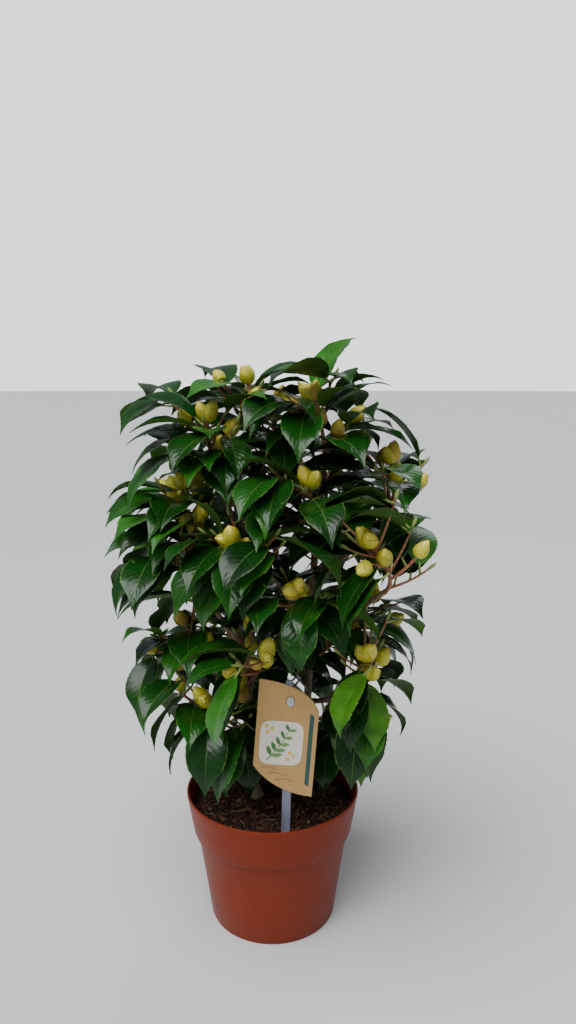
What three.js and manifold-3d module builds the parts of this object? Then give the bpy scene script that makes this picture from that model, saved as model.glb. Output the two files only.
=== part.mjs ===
// A young camellia shrub in its nursery pot. Units are millimetres, +Z is up,
// and the origin is the middle of the pot's flat underside.
//
// The pot stands on its flat base and is filled with compost. Three woody stems rise from the
// compost, each to its own height, and carry tapering boughs. At the tip of each bough, and here
// and there on a stem, grows one leafy shoot: a twig that branches by a seeded rule, with
// alternate arching leaves and a cluster of plump flower buds at each tip.

import * as THREE from "three";
import { mergeVertices } from "three/addons/utils/BufferGeometryUtils.js";
import Module from "manifold-3d";

const wasm = await Module();
wasm.setup();

// Pot: a tapered tub with a wide collar that oversteps the lower body.
const POT_HEIGHT = 130;
const POT_RIM_RADIUS = 85;
const COLLAR_HEIGHT = 41;
const COLLAR_FOOT_RADIUS = 78.5;
const BODY_TOP_RADIUS = 74.5;
const BASE_RADIUS = 62;
const POT_WALL = 1.6;
const POT_FLOOR = 2.4;
const POT_SIDES = 40;
const FOOT_ROUND = 2;
const COLLAR_STEP = { below: 3, round: 1, above: 2 };
const LIP = { width: 2.4, swell: 0.6, round: 0.8, from: 4, edge: 1 };
const DRAIN_HOLES = 6;
const DRAIN_RADIUS = 5;
const DRAIN_CIRCLE = 46;
const DRAIN_SIDES = 8;

// Compost: it fills the pot to a little under the rim and is level where the stems stand.
const COMPOST_LEVEL = 115;
const COMPOST_SAG = 4;
const COMPOST_FLAT_RADIUS = 50;
const COMPOST_EASE = { body: 0.4, collar: 0.6 };
const COMPOST_STEP = 4;
const COMPOST_SIDES = 36;
const CLEARANCE = 0.3;

// Plant label: a card with swept ends, held in front of a flat stick that is pushed in. The stick
// leans a little to the right, and the card hangs a little to its left.
const STICK_PLACE = [13.1, -60];
const CARD_ASIDE = -4;
const CARD_WIDTH = 55.5;
const CARD_SIDE = 82.5;
const CARD_SWEEP = 27;
const CARD_THICKNESS = 1.2;
const CARD_FOOT = 155;
const CARD_TILT = -4.5;
const CARD_FOOT_BULGE = [-0.3, 0.07];
const CARD_TOP_BULGE = [0.6, 0.9];
const CARD_HOLE = { x: 1.4, up: 90, across: 3.9, height: 5.2 };
const STICK_WIDTH = 8;
const STICK_THICKNESS = 2.4;
const STICK_FOOT = 62;
const STICK_TOP = 264;
const STICK_LEAN = 1.3;

// Stems: where each one stands, the two points that its curve leans towards, its top, its radii.
const STEMS = {
  stem_front: {
    foot: [-16, 6],
    leans: [[-37, 6, 205], [-8, -4, 305]],
    top: [-31, -5, 404],
    radii: [5, 3.6],
  },
  stem_right: {
    foot: [30, 14],
    leans: [[38, 14, 230], [34, -6, 340]],
    top: [48, -16, 446],
    radii: [4.4, 2.8],
  },
  stem_back: {
    foot: [2, 38],
    leans: [[14, 40, 220], [2, 58, 330]],
    top: [0, 46, 440],
    radii: [4.6, 2.8],
  },
};
const ROOT_FLARE = 1.45;
const FLARE_HEIGHT = 12;
const STEM_SIDES = 8;
const BOUGH_SIDES = 6;
const LIMB_STEP = 30;

// Boughs: the stem each leaves, how far up that stem, where its tip is, and its radii.
const BOUGHS = {
  bough_left: { on: "stem_front", at: 0.52, tip: [-72, -16, 350], radii: [3, 2.2] },
  bough_front: { on: "stem_front", at: 0.68, tip: [-14, -58, 362], radii: [2.8, 2.2] },
  bough_top_left: { on: "stem_front", at: 0.92, tip: [-50, -26, 448], radii: [2.8, 2.2] },
  bough_top: { on: "stem_front", at: 1, tip: [-23, -10, 464], radii: [3.3, 2.4] },
  bough_low_right: { on: "stem_right", at: 0.3, tip: [72, -38, 244], radii: [2.8, 2.2] },
  bough_front_right: { on: "stem_right", at: 0.54, tip: [98, -76, 350], radii: [2.8, 2.2] },
  bough_right: { on: "stem_right", at: 0.68, tip: [104, -16, 406], radii: [2.8, 2.2] },
  bough_back_left: { on: "stem_back", at: 0.5, tip: [-60, 66, 344], radii: [3, 2.2] },
  bough_back_right: { on: "stem_back", at: 0.56, tip: [64, 68, 356], radii: [3, 2.2] },
  bough_back: { on: "stem_back", at: 0.68, tip: [2, 90, 396], radii: [2.8, 2.2] },
};

// How a limb that leaves another one bends: where its bend is and how far that sags. One that
// runs on from a limb's end keeps that limb's direction at first.
const SIDE_BEND = { at: 0.45, sag: 0.1 };
const END_BEND_AT = 0.4;

// Shoots: the limb each grows from, how far along that limb, and where the shoot's tip is.
const SHOOTS = {
  shoot_top: { on: "bough_top", at: 1, tip: [-21, -8, 527] },
  shoot_top_left: { on: "bough_top_left", at: 1, tip: [-56, -32, 494] },
  shoot_top_right: { on: "stem_right", at: 1, tip: [38, -22, 512] },
  shoot_top_back: { on: "stem_back", at: 1, tip: [6, 52, 508] },
  shoot_right: { on: "bough_right", at: 1, tip: [109, -20, 456] },
  shoot_left: { on: "bough_left", at: 1, tip: [-80, -20, 432] },
  shoot_front: { on: "bough_front", at: 1, tip: [-30, -88, 396] },
  shoot_front_right: { on: "bough_front_right", at: 1, tip: [84, -98, 396] },
  shoot_back: { on: "bough_back", at: 1, tip: [4, 96, 462] },
  shoot_back_left: { on: "bough_back_left", at: 1, tip: [-74, 68, 412] },
  shoot_back_right: { on: "bough_back_right", at: 1, tip: [74, 68, 424] },
  shoot_middle: { on: "stem_right", at: 0.72, tip: [34, -62, 440] },
  shoot_mid_front: { on: "stem_right", at: 0.58, tip: [22, -82, 352] },
  shoot_upper_left: { on: "stem_back", at: 0.84, tip: [-48, 38, 452] },
  shoot_upper_right: { on: "stem_right", at: 0.8, tip: [62, 34, 468] },
  shoot_low_right: { on: "bough_low_right", at: 1, tip: [82, -72, 290] },
  shoot_foot_right: { on: "stem_right", at: 0.14, tip: [84, 12, 218] },
  shoot_side_right: { on: "stem_right", at: 0.42, tip: [96, 18, 316] },
  shoot_low_front: { on: "stem_front", at: 0.42, tip: [-4, -72, 292] },
  shoot_foot_left: { on: "stem_front", at: 0.24, tip: [-60, -42, 236] },
  shoot_side_left: { on: "stem_front", at: 0.36, tip: [-86, 6, 296] },
  shoot_foot_back: { on: "stem_back", at: 0.2, tip: [6, 90, 236] },
  shoot_side_back_left: { on: "stem_back", at: 0.34, tip: [-60, 78, 276] },
  shoot_side_back_right: { on: "stem_back", at: 0.38, tip: [62, 84, 290] },
};

// The growing rule. A shoot sets its leaves one by one round its twig, from a rosette at the tip
// down to the foot. Low on the plant the leaves hang, high up they are lifted to the light and
// arch over; each is set a little higher or lower than the rule says.
const SEED = { first: 7, step: 131 };
const INTERNODE = 17;
const TWIG_RADII = [2.1, 1.5];
const SIDE_TWIG_RADII = [1.6, 1.3];
const TWIG_SIDES = 3;
const TWIG_STEPS = [4, 2];
const SIDE_TWIG_SHARE = 0.5;
const SIDE_TWIG_SPARE = [0.8, 0.4];
const SIDE_TWIG_PLACES = [0.3, 0.58];
const SIDE_TWIG_TURN = 120;
const SIDE_TWIG_SHAPE = { forward: 0.75, bendAt: 0.6, lift: 0.2, shortest: 20 };
const ROSETTE_LEAVES = 4;
const ROSETTE_TOP = 9;
const ROSETTE_STEP = 5;
const ROSETTE_SPREAD = [50, 66];
const ROSETTE_LENGTH_SHARE = 0.94;
const LOWER_SPREAD = 68;
const SPIRAL = 144;
const SPIRAL_DRIFT = 16;
const TURNS_TRIED = [0, 24, -24, 48, -48, 72, -72, 96, -96];
const LEAF_LENGTH = [60, 82];
const LEAF_WIDTH_SHARE = 0.5;
const LEAF_DEPTH = 1.5;
const LEAF_BEND = [50, 68];
const LEAF_LIFT = 13;
const UPRIGHT_LEAF = { on: "shoot_top_right", at: 0.96, away: [0.24, 0.2, 0.95], length: 72, lift: 18 };
const LEAF_ROLL = 16;
const LEAF_RISE_SHARE = 0.75;
const STEEPEST_FALL = 78;
const STEEPEST_TIP = 84;
const BLADE_RINGS = [0.38, 0.74];
const HANGING_BELOW = 230;
const LIFTED_ABOVE = 430;
const HANGING_DROP = 34;
const PETIOLE_LENGTH = 9;
const PETIOLE_WIDTH = 1.9;
const BUD_LENGTH = [17, 22];
const BUD_WIDTH_SHARE = 0.66;
const BUD_SHAPE = [
  [0, 0.25],
  [0.32, 1],
  [0.66, 0.8],
];
const BUD_SIDES = 5;
const BUD_SINK = 1.2;
const BUD_LEANS = [0.5, 0.15];
const GAP_TO_LEAVES = 7.2;
const GAP_TO_LIMBS = 5.5;
const OWN_GAP = 6;
const OWN_BUD_GAP = 9.5;
const BUD_GAP_SHARE = 0.7;
const SAMPLE_STEP = 6;
const BUD_SAMPLES = [0.35, 0.8];
const LEAF_SAMPLES = [0.16, 0.26, 0.38, 0.5, 0.64, 0.78, 0.9, 1];
const WIDE_HALF = 9;
const STALK_SAMPLES = { onStalk: 0.6, onBlade: 0.06 };

// Open views: leaves keep out of the space before the label's face and before each cluster of
// buds, on the side of the crown that the cluster is on.
const VIEWED_FROM = [0, 700, 540];
const BACK_FROM = 30;
const VIEW_TO_BUDS = { from: 16, to: 52, step: 12, gap: 11 };
const VIEW_TO_LABEL = { middle: [14.5, -60], deep: 84, aside: 28, below: 9, step: 14, climb: 0.4, gap: 10 };

// The crown's reach: how far out from the pot's axis anything may grow, by height.
const REACH = [
  [120, 60],
  [150, 104],
  [220, 140],
  [320, 158],
  [440, 160],
  [520, 136],
  [570, 80],
];
const LOWEST_LEAF = 137;

const MERGE_WITHIN = 1e-4;
const SIMPLIFY_TO = 0.1;

const radians = THREE.MathUtils.degToRad;
const lerp = THREE.MathUtils.lerp;
const UP = new THREE.Vector3(0, 0, 1);

// Materials, by what each surface is.
function finish(color, roughness) {
  return new THREE.MeshStandardMaterial({ color, roughness, metalness: 0 });
}
const MATERIALS = {
  terracotta: finish(0xa8472c, 0.42),
  compost: finish(0x3b2418, 0.95),
  bark: finish(0x7a5a42, 0.8),
  foliage: finish(0x1f4a1c, 0.35),
  card: finish(0xc49a66, 0.7),
  stick: finish(0xa9adb6, 0.45),
};

const plant = new THREE.Group();

function addMesh(name, geometry, material) {
  const mesh = new THREE.Mesh(geometry, MATERIALS[material]);
  mesh.name = name;
  plant.add(mesh);
  return mesh;
}

// A closed mesh as a solid for joining and cutting, and back again.
function solidFrom(geometry) {
  const bare = geometry.clone();
  bare.deleteAttribute("normal");
  bare.deleteAttribute("uv");
  const merged = mergeVertices(bare, MERGE_WITHIN);
  return new wasm.Manifold(
    new wasm.Mesh({
      numProp: 3,
      vertProperties: new Float32Array(merged.attributes.position.array),
      triVerts: new Uint32Array(merged.index.array),
    }),
  );
}

function geometryFrom(solid) {
  const mesh = solid.getMesh();
  const geometry = new THREE.BufferGeometry();
  geometry.setAttribute("position", new THREE.BufferAttribute(mesh.vertProperties, 3));
  geometry.setIndex(new THREE.BufferAttribute(mesh.triVerts, 1));
  return geometry;
}

// The outer skin of the largest body: hollows that joining sealed are filled, scraps dropped.
function largestBody(solid) {
  return solid.decompose().reduce((a, b) => (b.volume() > a.volume() ? b : a));
}

// A closed skin over rings of points. A ring of one point closes its end to a tip.
function loft(rings) {
  const positions = [];
  const faces = [];
  const starts = rings.map((ring) => {
    const start = positions.length / 3;
    ring.forEach((point) => positions.push(point.x, point.y, point.z));
    return start;
  });
  for (let i = 0; i + 1 < rings.length; i++) {
    const sides = Math.max(rings[i].length, rings[i + 1].length);
    for (let k = 0; k < sides; k++) {
      const next = (k + 1) % sides;
      const a = starts[i] + (rings[i].length > 1 ? k : 0);
      const b = starts[i] + (rings[i].length > 1 ? next : 0);
      const c = starts[i + 1] + (rings[i + 1].length > 1 ? next : 0);
      const d = starts[i + 1] + (rings[i + 1].length > 1 ? k : 0);
      if (a === b) faces.push(a, c, d);
      else if (c === d) faces.push(a, b, c);
      else if (k % 2 === 0) faces.push(a, b, c, a, c, d);
      else faces.push(a, b, d, b, c, d);
    }
  }
  const last = rings.length - 1;
  for (let k = 1; k + 1 < rings[0].length; k++) {
    faces.push(starts[0], starts[0] + k + 1, starts[0] + k);
  }
  for (let k = 1; k + 1 < rings[last].length; k++) {
    faces.push(starts[last], starts[last] + k, starts[last] + k + 1);
  }
  const geometry = new THREE.BufferGeometry();
  geometry.setAttribute("position", new THREE.Float32BufferAttribute(positions, 3));
  geometry.setIndex(faces);
  return geometry;
}

// Two directions square to an axis, the same for the same axis.
function squareTo(axis) {
  const reference = Math.abs(axis.z) < 0.9 ? UP : new THREE.Vector3(1, 0, 0);
  const u = new THREE.Vector3().crossVectors(reference, axis).normalize();
  return [u, new THREE.Vector3().crossVectors(axis, u)];
}

function circle(centre, axis, radius, sides) {
  const [u, v] = squareTo(axis);
  return Array.from({ length: sides }, (_, k) => {
    const turn = (2 * Math.PI * k) / sides;
    return centre
      .clone()
      .addScaledVector(u, radius * Math.cos(turn))
      .addScaledVector(v, radius * Math.sin(turn));
  });
}

// A limb: a round rod that tapers along its curve. Its first ring stays level on a stem.
function limbGeometry(curve, radiusAt, sides, steps, levelFoot) {
  const rings = [];
  for (let i = 0; i <= steps; i++) {
    const t = i / steps;
    const axis = levelFoot && i === 0 ? UP : curve.getTangentAt(t);
    rings.push(circle(curve.getPointAt(t), axis, radiusAt(t), sides));
  }
  return loft(rings);
}

// Seeded numbers from 0 to 1, the same on every run.
function seeded(seed) {
  let state = seed;
  return () => {
    state = (state * 1664525 + 1013904223) % 4294967296;
    return state / 4294967296;
  };
}

// Pot, turned as one wall with an open top, and drained round its floor.
function potGeometry() {
  const collarFoot = POT_HEIGHT - COLLAR_HEIGHT;
  const profile = [
    [0, 0],
    [BASE_RADIUS - FOOT_ROUND, 0],
    [BASE_RADIUS, FOOT_ROUND],
    [BODY_TOP_RADIUS, collarFoot - COLLAR_STEP.below],
    [COLLAR_FOOT_RADIUS - COLLAR_STEP.round, collarFoot],
    [COLLAR_FOOT_RADIUS, collarFoot + COLLAR_STEP.above],
    [POT_RIM_RADIUS - LIP.swell, POT_HEIGHT - LIP.from],
    [POT_RIM_RADIUS, POT_HEIGHT - LIP.edge],
    [POT_RIM_RADIUS - LIP.round, POT_HEIGHT],
    [POT_RIM_RADIUS - LIP.width, POT_HEIGHT],
    [COLLAR_FOOT_RADIUS - POT_WALL, collarFoot + COLLAR_STEP.below],
    [BODY_TOP_RADIUS - POT_WALL, collarFoot - COLLAR_STEP.round],
    [BASE_RADIUS - POT_WALL, POT_FLOOR],
    [0, POT_FLOOR],
  ].map(([r, z]) => new THREE.Vector2(r, z));
  const wall = new THREE.LatheGeometry(profile, POT_SIDES).rotateX(Math.PI / 2);
  let pot = solidFrom(wall);
  for (let i = 0; i < DRAIN_HOLES; i++) {
    const turn = (2 * Math.PI * (i + 0.5)) / DRAIN_HOLES;
    const drill = new THREE.CylinderGeometry(DRAIN_RADIUS, DRAIN_RADIUS, 4 * POT_FLOOR, DRAIN_SIDES)
      .rotateX(Math.PI / 2)
      .translate(DRAIN_CIRCLE * Math.cos(turn), DRAIN_CIRCLE * Math.sin(turn), POT_FLOOR / 2);
    pot = pot.subtract(solidFrom(drill));
  }
  return geometryFrom(pot);
}

// A box along the label's stick, which leans about the place where it enters the compost.
function leaningBox(wide, thick, low, high) {
  const [x, y] = STICK_PLACE;
  return new THREE.BoxGeometry(wide, thick, high - low)
    .translate(0, 0, (low + high) / 2 - COMPOST_LEVEL)
    .rotateY(radians(STICK_LEAN))
    .translate(x, y, COMPOST_LEVEL);
}

// Compost: what fills the pot, with the slot that the label's stick is pushed into.
function compostGeometry() {
  const collarFoot = POT_HEIGHT - COLLAR_HEIGHT;
  const inset = POT_WALL + CLEARANCE;
  const edge = COMPOST_LEVEL - COMPOST_SAG;
  const rise = (edge - collarFoot) / COLLAR_HEIGHT;
  const collarRadius = lerp(COLLAR_FOOT_RADIUS, POT_RIM_RADIUS - LIP.edge, rise);
  const edgeRadius = collarRadius - inset - COMPOST_EASE.collar;
  const profile = [
    [0, POT_FLOOR + CLEARANCE],
    [BASE_RADIUS - inset - COMPOST_EASE.body, POT_FLOOR + CLEARANCE],
    [BODY_TOP_RADIUS - inset - COMPOST_EASE.body, collarFoot - COLLAR_STEP.round],
    [COLLAR_FOOT_RADIUS - inset - COMPOST_EASE.collar, collarFoot + COMPOST_STEP],
    [edgeRadius, edge],
    [COMPOST_FLAT_RADIUS, COMPOST_LEVEL],
    [0, COMPOST_LEVEL],
  ].map(([r, z]) => new THREE.Vector2(r, z));
  const filling = new THREE.LatheGeometry(profile, COMPOST_SIDES).rotateX(Math.PI / 2);
  const slot = leaningBox(
    STICK_WIDTH + 2 * CLEARANCE,
    STICK_THICKNESS + 2 * CLEARANCE,
    STICK_FOOT - CLEARANCE,
    STICK_FOOT + COMPOST_LEVEL,
  );
  return geometryFrom(solidFrom(filling).subtract(solidFrom(slot)));
}

// Label card: both sides straight, both ends swept and bulging outwards, with one pin hole.
function cardGeometry() {
  const half = CARD_WIDTH / 2;
  const top = CARD_SIDE + CARD_SWEEP;
  const [footX, footY] = CARD_FOOT_BULGE;
  const [topX, topY] = CARD_TOP_BULGE;
  const outline = new THREE.Shape();
  outline.moveTo(-half, CARD_SWEEP);
  outline.quadraticCurveTo(half * footX, CARD_SWEEP * footY, half, 0);
  outline.lineTo(half, CARD_SIDE);
  outline.quadraticCurveTo(half * topX, CARD_SIDE + CARD_SWEEP * topY, -half, top);
  outline.closePath();
  const hole = new THREE.Path();
  hole.absellipse(CARD_HOLE.x, CARD_HOLE.up, CARD_HOLE.across, CARD_HOLE.height, 0, 2 * Math.PI);
  outline.holes.push(hole);
  const [x, y] = STICK_PLACE;
  return new THREE.ExtrudeGeometry(outline, {
    depth: CARD_THICKNESS,
    bevelEnabled: false,
    curveSegments: 10,
  })
    .rotateZ(radians(CARD_TILT))
    .rotateX(Math.PI / 2)
    .translate(x + CARD_ASIDE, y - STICK_THICKNESS / 2 - CLEARANCE, CARD_FOOT);
}

function stickGeometry() {
  return leaningBox(STICK_WIDTH, STICK_THICKNESS, STICK_FOOT, STICK_TOP);
}

// Limbs. Each is a curve, a radius law and the solid round it.
const limbs = {};

function addLimb(name, curve, radii, flare, blockers) {
  const long = curve.getLength();
  const radiusAt = (t) => {
    const swell = flare ? (ROOT_FLARE - 1) * Math.max(0, 1 - (t * long) / FLARE_HEIGHT) : 0;
    return lerp(radii[0], radii[1], t) * (1 + swell);
  };
  const sides = flare ? STEM_SIDES : BOUGH_SIDES;
  const steps = Math.max(3, Math.round(long / LIMB_STEP));
  let solid = solidFrom(limbGeometry(curve, radiusAt, sides, steps, flare));
  blockers.forEach((blocker) => {
    solid = solid.subtract(blocker);
  });
  const swollen = (t) => radiusAt(t) + CLEARANCE;
  const around = solidFrom(limbGeometry(curve, swollen, sides, steps, flare));
  limbs[name] = { curve, radiusAt, around };
  addMesh(name, geometryFrom(largestBody(solid)), "bark");
}

// A curve that leaves a limb and bends up to its own tip. From a limb's end it runs straight on
// after a hairline gap; from a limb's side it starts on that limb's axis.
function curveFrom(on, at, tip) {
  const along = limbs[on].curve.getTangentAt(at);
  const start = limbs[on].curve.getPointAt(at);
  const end = new THREE.Vector3(...tip);
  const far = start.distanceTo(end);
  const bend = start.clone().lerp(end, SIDE_BEND.at);
  if (at === 1) {
    start.addScaledVector(along, CLEARANCE);
    bend.copy(start).addScaledVector(along, far * END_BEND_AT);
  } else {
    bend.addScaledVector(UP, -far * SIDE_BEND.sag);
  }
  return new THREE.QuadraticBezierCurve3(start, bend, end);
}

Object.entries(STEMS).forEach(([name, { foot, leans, top, radii }]) => {
  const points = [[...foot, COMPOST_LEVEL + CLEARANCE], ...leans, top];
  const corners = points.map((point) => new THREE.Vector3(...point));
  addLimb(name, new THREE.CubicBezierCurve3(...corners), radii, true, []);
});

Object.entries(BOUGHS).forEach(([name, { on, at, tip, radii }]) => {
  const blockers = at === 1 ? [] : [limbs[on].around];
  addLimb(name, curveFrom(on, at, tip), radii, false, blockers);
});

// A leaf: a straight petiole, then a folded blade along an arc that bends to the ground.
function leafFrom(root, away, { length, roll, lift }) {
  const hang = THREE.MathUtils.clamp((LIFTED_ABOVE - root.z) / (LIFTED_ABOVE - HANGING_BELOW), 0, 1);
  const flat = new THREE.Vector3(away.x, away.y, 0);
  if (flat.length() < 0.02) flat.set(1, 0, 0);
  flat.normalize();
  const lifted = LEAF_RISE_SHARE * Math.asin(away.z) + lift - radians(HANGING_DROP) * hang;
  const rise = Math.max(-radians(STEEPEST_FALL), lifted);
  const arch = radians(lerp(...LEAF_BEND, hang));
  const bend = Math.max(0.1, Math.min(arch, rise + radians(STEEPEST_TIP)));
  return { root, flat, rise, bend, length, roll };
}

// Where a leaf is at a share of its blade, with its run, its breadth and its upper side.
function leafPlace({ root, flat, rise, bend, length, roll }, share) {
  const angle = rise - bend * share;
  const out = PETIOLE_LENGTH * Math.cos(rise) + (length * (Math.sin(rise) - Math.sin(angle))) / bend;
  const up = PETIOLE_LENGTH * Math.sin(rise) + (length * (Math.cos(angle) - Math.cos(rise))) / bend;
  const point = root.clone().addScaledVector(flat, out).addScaledVector(UP, up);
  const level = new THREE.Vector3().crossVectors(UP, flat);
  const normal = UP.clone().multiplyScalar(Math.cos(angle)).addScaledVector(flat, -Math.sin(angle));
  const breadth = level.clone().multiplyScalar(Math.cos(roll)).addScaledVector(normal, Math.sin(roll));
  const upper = normal.multiplyScalar(Math.cos(roll)).addScaledVector(level, -Math.sin(roll));
  return { point, breadth, upper };
}

// A blade's half width at a share of its length: widest before the middle, with a drawn-out tip.
function halfWidth(length, share) {
  const swell = Math.sin(Math.PI * Math.pow(share, 0.86)) ** 0.8;
  return (length * LEAF_WIDTH_SHARE * swell) / 2;
}

// A slice across a leaf: two thin edges and a shallow keel under the midrib.
function leafSlice({ point, breadth, upper }, half, depth) {
  return [
    point.clone().addScaledVector(breadth, half),
    point.clone().addScaledVector(breadth, -half),
    point.clone().addScaledVector(upper, -depth),
  ];
}

function leafGeometry(leaf) {
  const neck = leafPlace(leaf, 0);
  const stalk = [PETIOLE_WIDTH / 2, PETIOLE_WIDTH];
  const rings = [
    leafSlice({ ...neck, point: leaf.root }, ...stalk),
    leafSlice(neck, ...stalk),
    ...BLADE_RINGS.map((share) =>
      leafSlice(leafPlace(leaf, share), halfWidth(leaf.length, share), LEAF_DEPTH),
    ),
    [leafPlace(leaf, 1).point],
  ];
  return loft(rings);
}

// Points spread over a leaf, to test whether it has room.
function leafSamples(leaf) {
  const samples = [];
  LEAF_SAMPLES.forEach((share) => {
    const place = leafPlace(leaf, share);
    const half = share < 1 ? halfWidth(leaf.length, share) : 0;
    const across = half > WIDE_HALF ? [-1, -0.5, 0, 0.5, 1] : [-1, 0, 1];
    across.forEach((side) => {
      samples.push(place.point.clone().addScaledVector(place.breadth, side * half));
    });
  });
  return samples;
}

// What already takes up room: every limb and twig, the label and the open view of its face, and
// each leaf and bud set so far.
const taken = [];

function takeRoom(owner, points, gap, ownGap = 0) {
  points.forEach((point) => taken.push({ owner, point, gap, ownGap }));
}

function alongCurve(curve) {
  return curve.getSpacedPoints(Math.ceil(curve.getLength() / SAMPLE_STEP));
}

function insideReach(point) {
  if (point.z < LOWEST_LEAF || point.z > REACH[REACH.length - 1][0]) return false;
  const k = REACH.findIndex(([height]) => height > point.z);
  const [low, high] = [REACH[k - 1], REACH[k]];
  const limit = lerp(low[1], high[1], (point.z - low[0]) / (high[0] - low[0]));
  return Math.hypot(point.x, point.y) <= limit;
}

// A leaf keeps the whole gap to what others have taken, and a smaller one to its own shoot's.
// Stalks and twigs may touch their own shoot, so for them that share is 0.
function hasRoom(points, owner, ownShare) {
  return points.every(
    (point) =>
      insideReach(point) &&
      taken.every((other) => {
        const gap = other.owner === owner ? ownShare * other.ownGap : other.gap;
        return other.point.distanceTo(point) >= gap;
      }),
  );
}

Object.entries(limbs).forEach(([name, limb]) => {
  takeRoom(name, alongCurve(limb.curve), GAP_TO_LIMBS + limb.radiusAt(0.5));
});

function openViewToLabel({ middle: [x, y], deep, aside, below, step, climb, gap }) {
  for (let across = -aside; across <= aside; across += step) {
    for (let forward = 0; forward <= deep; forward += step) {
      for (let z = CARD_FOOT - below; z <= CARD_FOOT + CARD_SIDE + CARD_SWEEP; z += step) {
        takeRoom("view", [new THREE.Vector3(x + across, y - forward, z + climb * forward)], gap);
      }
    }
  }
}

// The crown's back is seen from behind, and the rest from the front.
function openViewToBuds(tip, { from, to, step, gap }) {
  const [x, y, z] = VIEWED_FROM;
  const viewer = new THREE.Vector3(x, tip.y > BACK_FROM ? y : -y, z);
  const ahead = viewer.sub(tip).normalize();
  for (let far = from; far <= to; far += step) {
    takeRoom("view", [tip.clone().addScaledVector(ahead, far)], gap);
  }
}

openViewToLabel(VIEW_TO_LABEL);

// Twigs of every shoot, the main one and its side twigs. All are placed before any leaf is.
const shoots = Object.entries(SHOOTS).map(([name, { on, at, tip }], index) => {
  const random = seeded(SEED.first + SEED.step * index);
  const twigs = [{ curve: curveFrom(on, at, tip), radii: TWIG_RADII }];
  takeRoom(name, alongCurve(twigs[0].curve), GAP_TO_LIMBS);
  return { name, on, at, random, twigs, solids: [], leaves: [] };
});

shoots.forEach(({ name, random, twigs }) => {
  const main = twigs[0].curve;
  const { forward, bendAt, lift, shortest } = SIDE_TWIG_SHAPE;
  SIDE_TWIG_PLACES.forEach((place, count) => {
    const [least, spare] = SIDE_TWIG_SPARE;
    const long = main.getLength() * SIDE_TWIG_SHARE * (least + spare * random());
    const turn = radians(180 * count + SIDE_TWIG_TURN * random());
    const start = main.getPointAt(place);
    const axis = main.getTangentAt(place);
    const [u, v] = squareTo(axis);
    const away = axis
      .clone()
      .multiplyScalar(forward)
      .addScaledVector(u, Math.cos(turn))
      .addScaledVector(v, Math.sin(turn))
      .normalize();
    const bend = start.clone().addScaledVector(away, long * bendAt);
    const end = start.clone().addScaledVector(away, long).addScaledVector(UP, long * lift);
    const curve = new THREE.QuadraticBezierCurve3(start, bend, end);
    const points = alongCurve(curve);
    if (long < shortest || !hasRoom(points, name, 0)) return;
    twigs.push({ curve, radii: SIDE_TWIG_RADII });
    takeRoom(name, points, GAP_TO_LIMBS);
  });
});

// Places for leaves on each shoot, listed from the tips down, and the buds at the tips.
shoots.forEach((shoot) => {
  const { name, random, twigs, solids, leaves } = shoot;
  twigs.forEach(({ curve, radii }, order) => {
    const rank = Math.min(order, 1);
    const radiusAt = (t) => lerp(radii[0], radii[1], t);
    solids.push(solidFrom(limbGeometry(curve, radiusAt, TWIG_SIDES, TWIG_STEPS[rank], false)));
    const long = curve.getLength();
    const rosette = order === 0 ? ROSETTE_LEAVES : ROSETTE_LEAVES - 1;
    const rosetteFoot = ROSETTE_TOP + ROSETTE_STEP * (rosette - 1);
    const nodes = Math.floor((long - rosetteFoot) / INTERNODE);
    let turn = 360 * random();
    for (let k = 0; k < rosette + nodes; k++) {
      const below = k - rosette + 1;
      const back = below > 0 ? rosetteFoot + below * INTERNODE : ROSETTE_TOP + ROSETTE_STEP * k;
      leaves.push({
        at: 1 - back / long,
        curve,
        turn,
        spread: k < rosette ? lerp(...ROSETTE_SPREAD, k / rosette) : LOWER_SPREAD,
        length: lerp(...LEAF_LENGTH, random()) * (k < rosette ? ROSETTE_LENGTH_SHARE : 1),
        roll: radians(LEAF_ROLL) * (2 * random() - 1),
        lift: radians(LEAF_LIFT) * (2 * random() - 1),
        rank: k + order * 2,
      });
      turn += SPIRAL + SPIRAL_DRIFT * (random() - 0.5);
    }
    const axis = curve.getTangentAt(1);
    const [u, v] = squareTo(axis);
    const budTurn = radians(360 * random());
    const buds = order === 0 ? 2 : Math.round(random());
    for (let k = 0; k < buds; k++) {
      const away = axis
        .clone()
        .addScaledVector(u, BUD_LEANS[rank] * Math.cos(budTurn + Math.PI * k))
        .addScaledVector(v, BUD_LEANS[rank] * Math.sin(budTurn + Math.PI * k))
        .normalize();
      const size = lerp(...BUD_LENGTH, random());
      const fat = (size * BUD_WIDTH_SHARE) / 2;
      const at = (share) => curve.getPointAt(1).addScaledVector(away, size * share - BUD_SINK);
      const rings = BUD_SHAPE.map(([share, swell]) => circle(at(share), away, fat * swell, BUD_SIDES));
      solids.push(solidFrom(loft([...rings, [at(1)]])));
      takeRoom(name, BUD_SAMPLES.map(at), GAP_TO_LEAVES + fat * BUD_GAP_SHARE, OWN_BUD_GAP);
    }
    const cluster = curve.getPointAt(1).addScaledVector(axis, BUD_LENGTH[0] / 2);
    if (order === 0) openViewToBuds(cluster, VIEW_TO_BUDS);
  });
  leaves.sort((a, b) => a.rank - b.rank);
});

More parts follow.
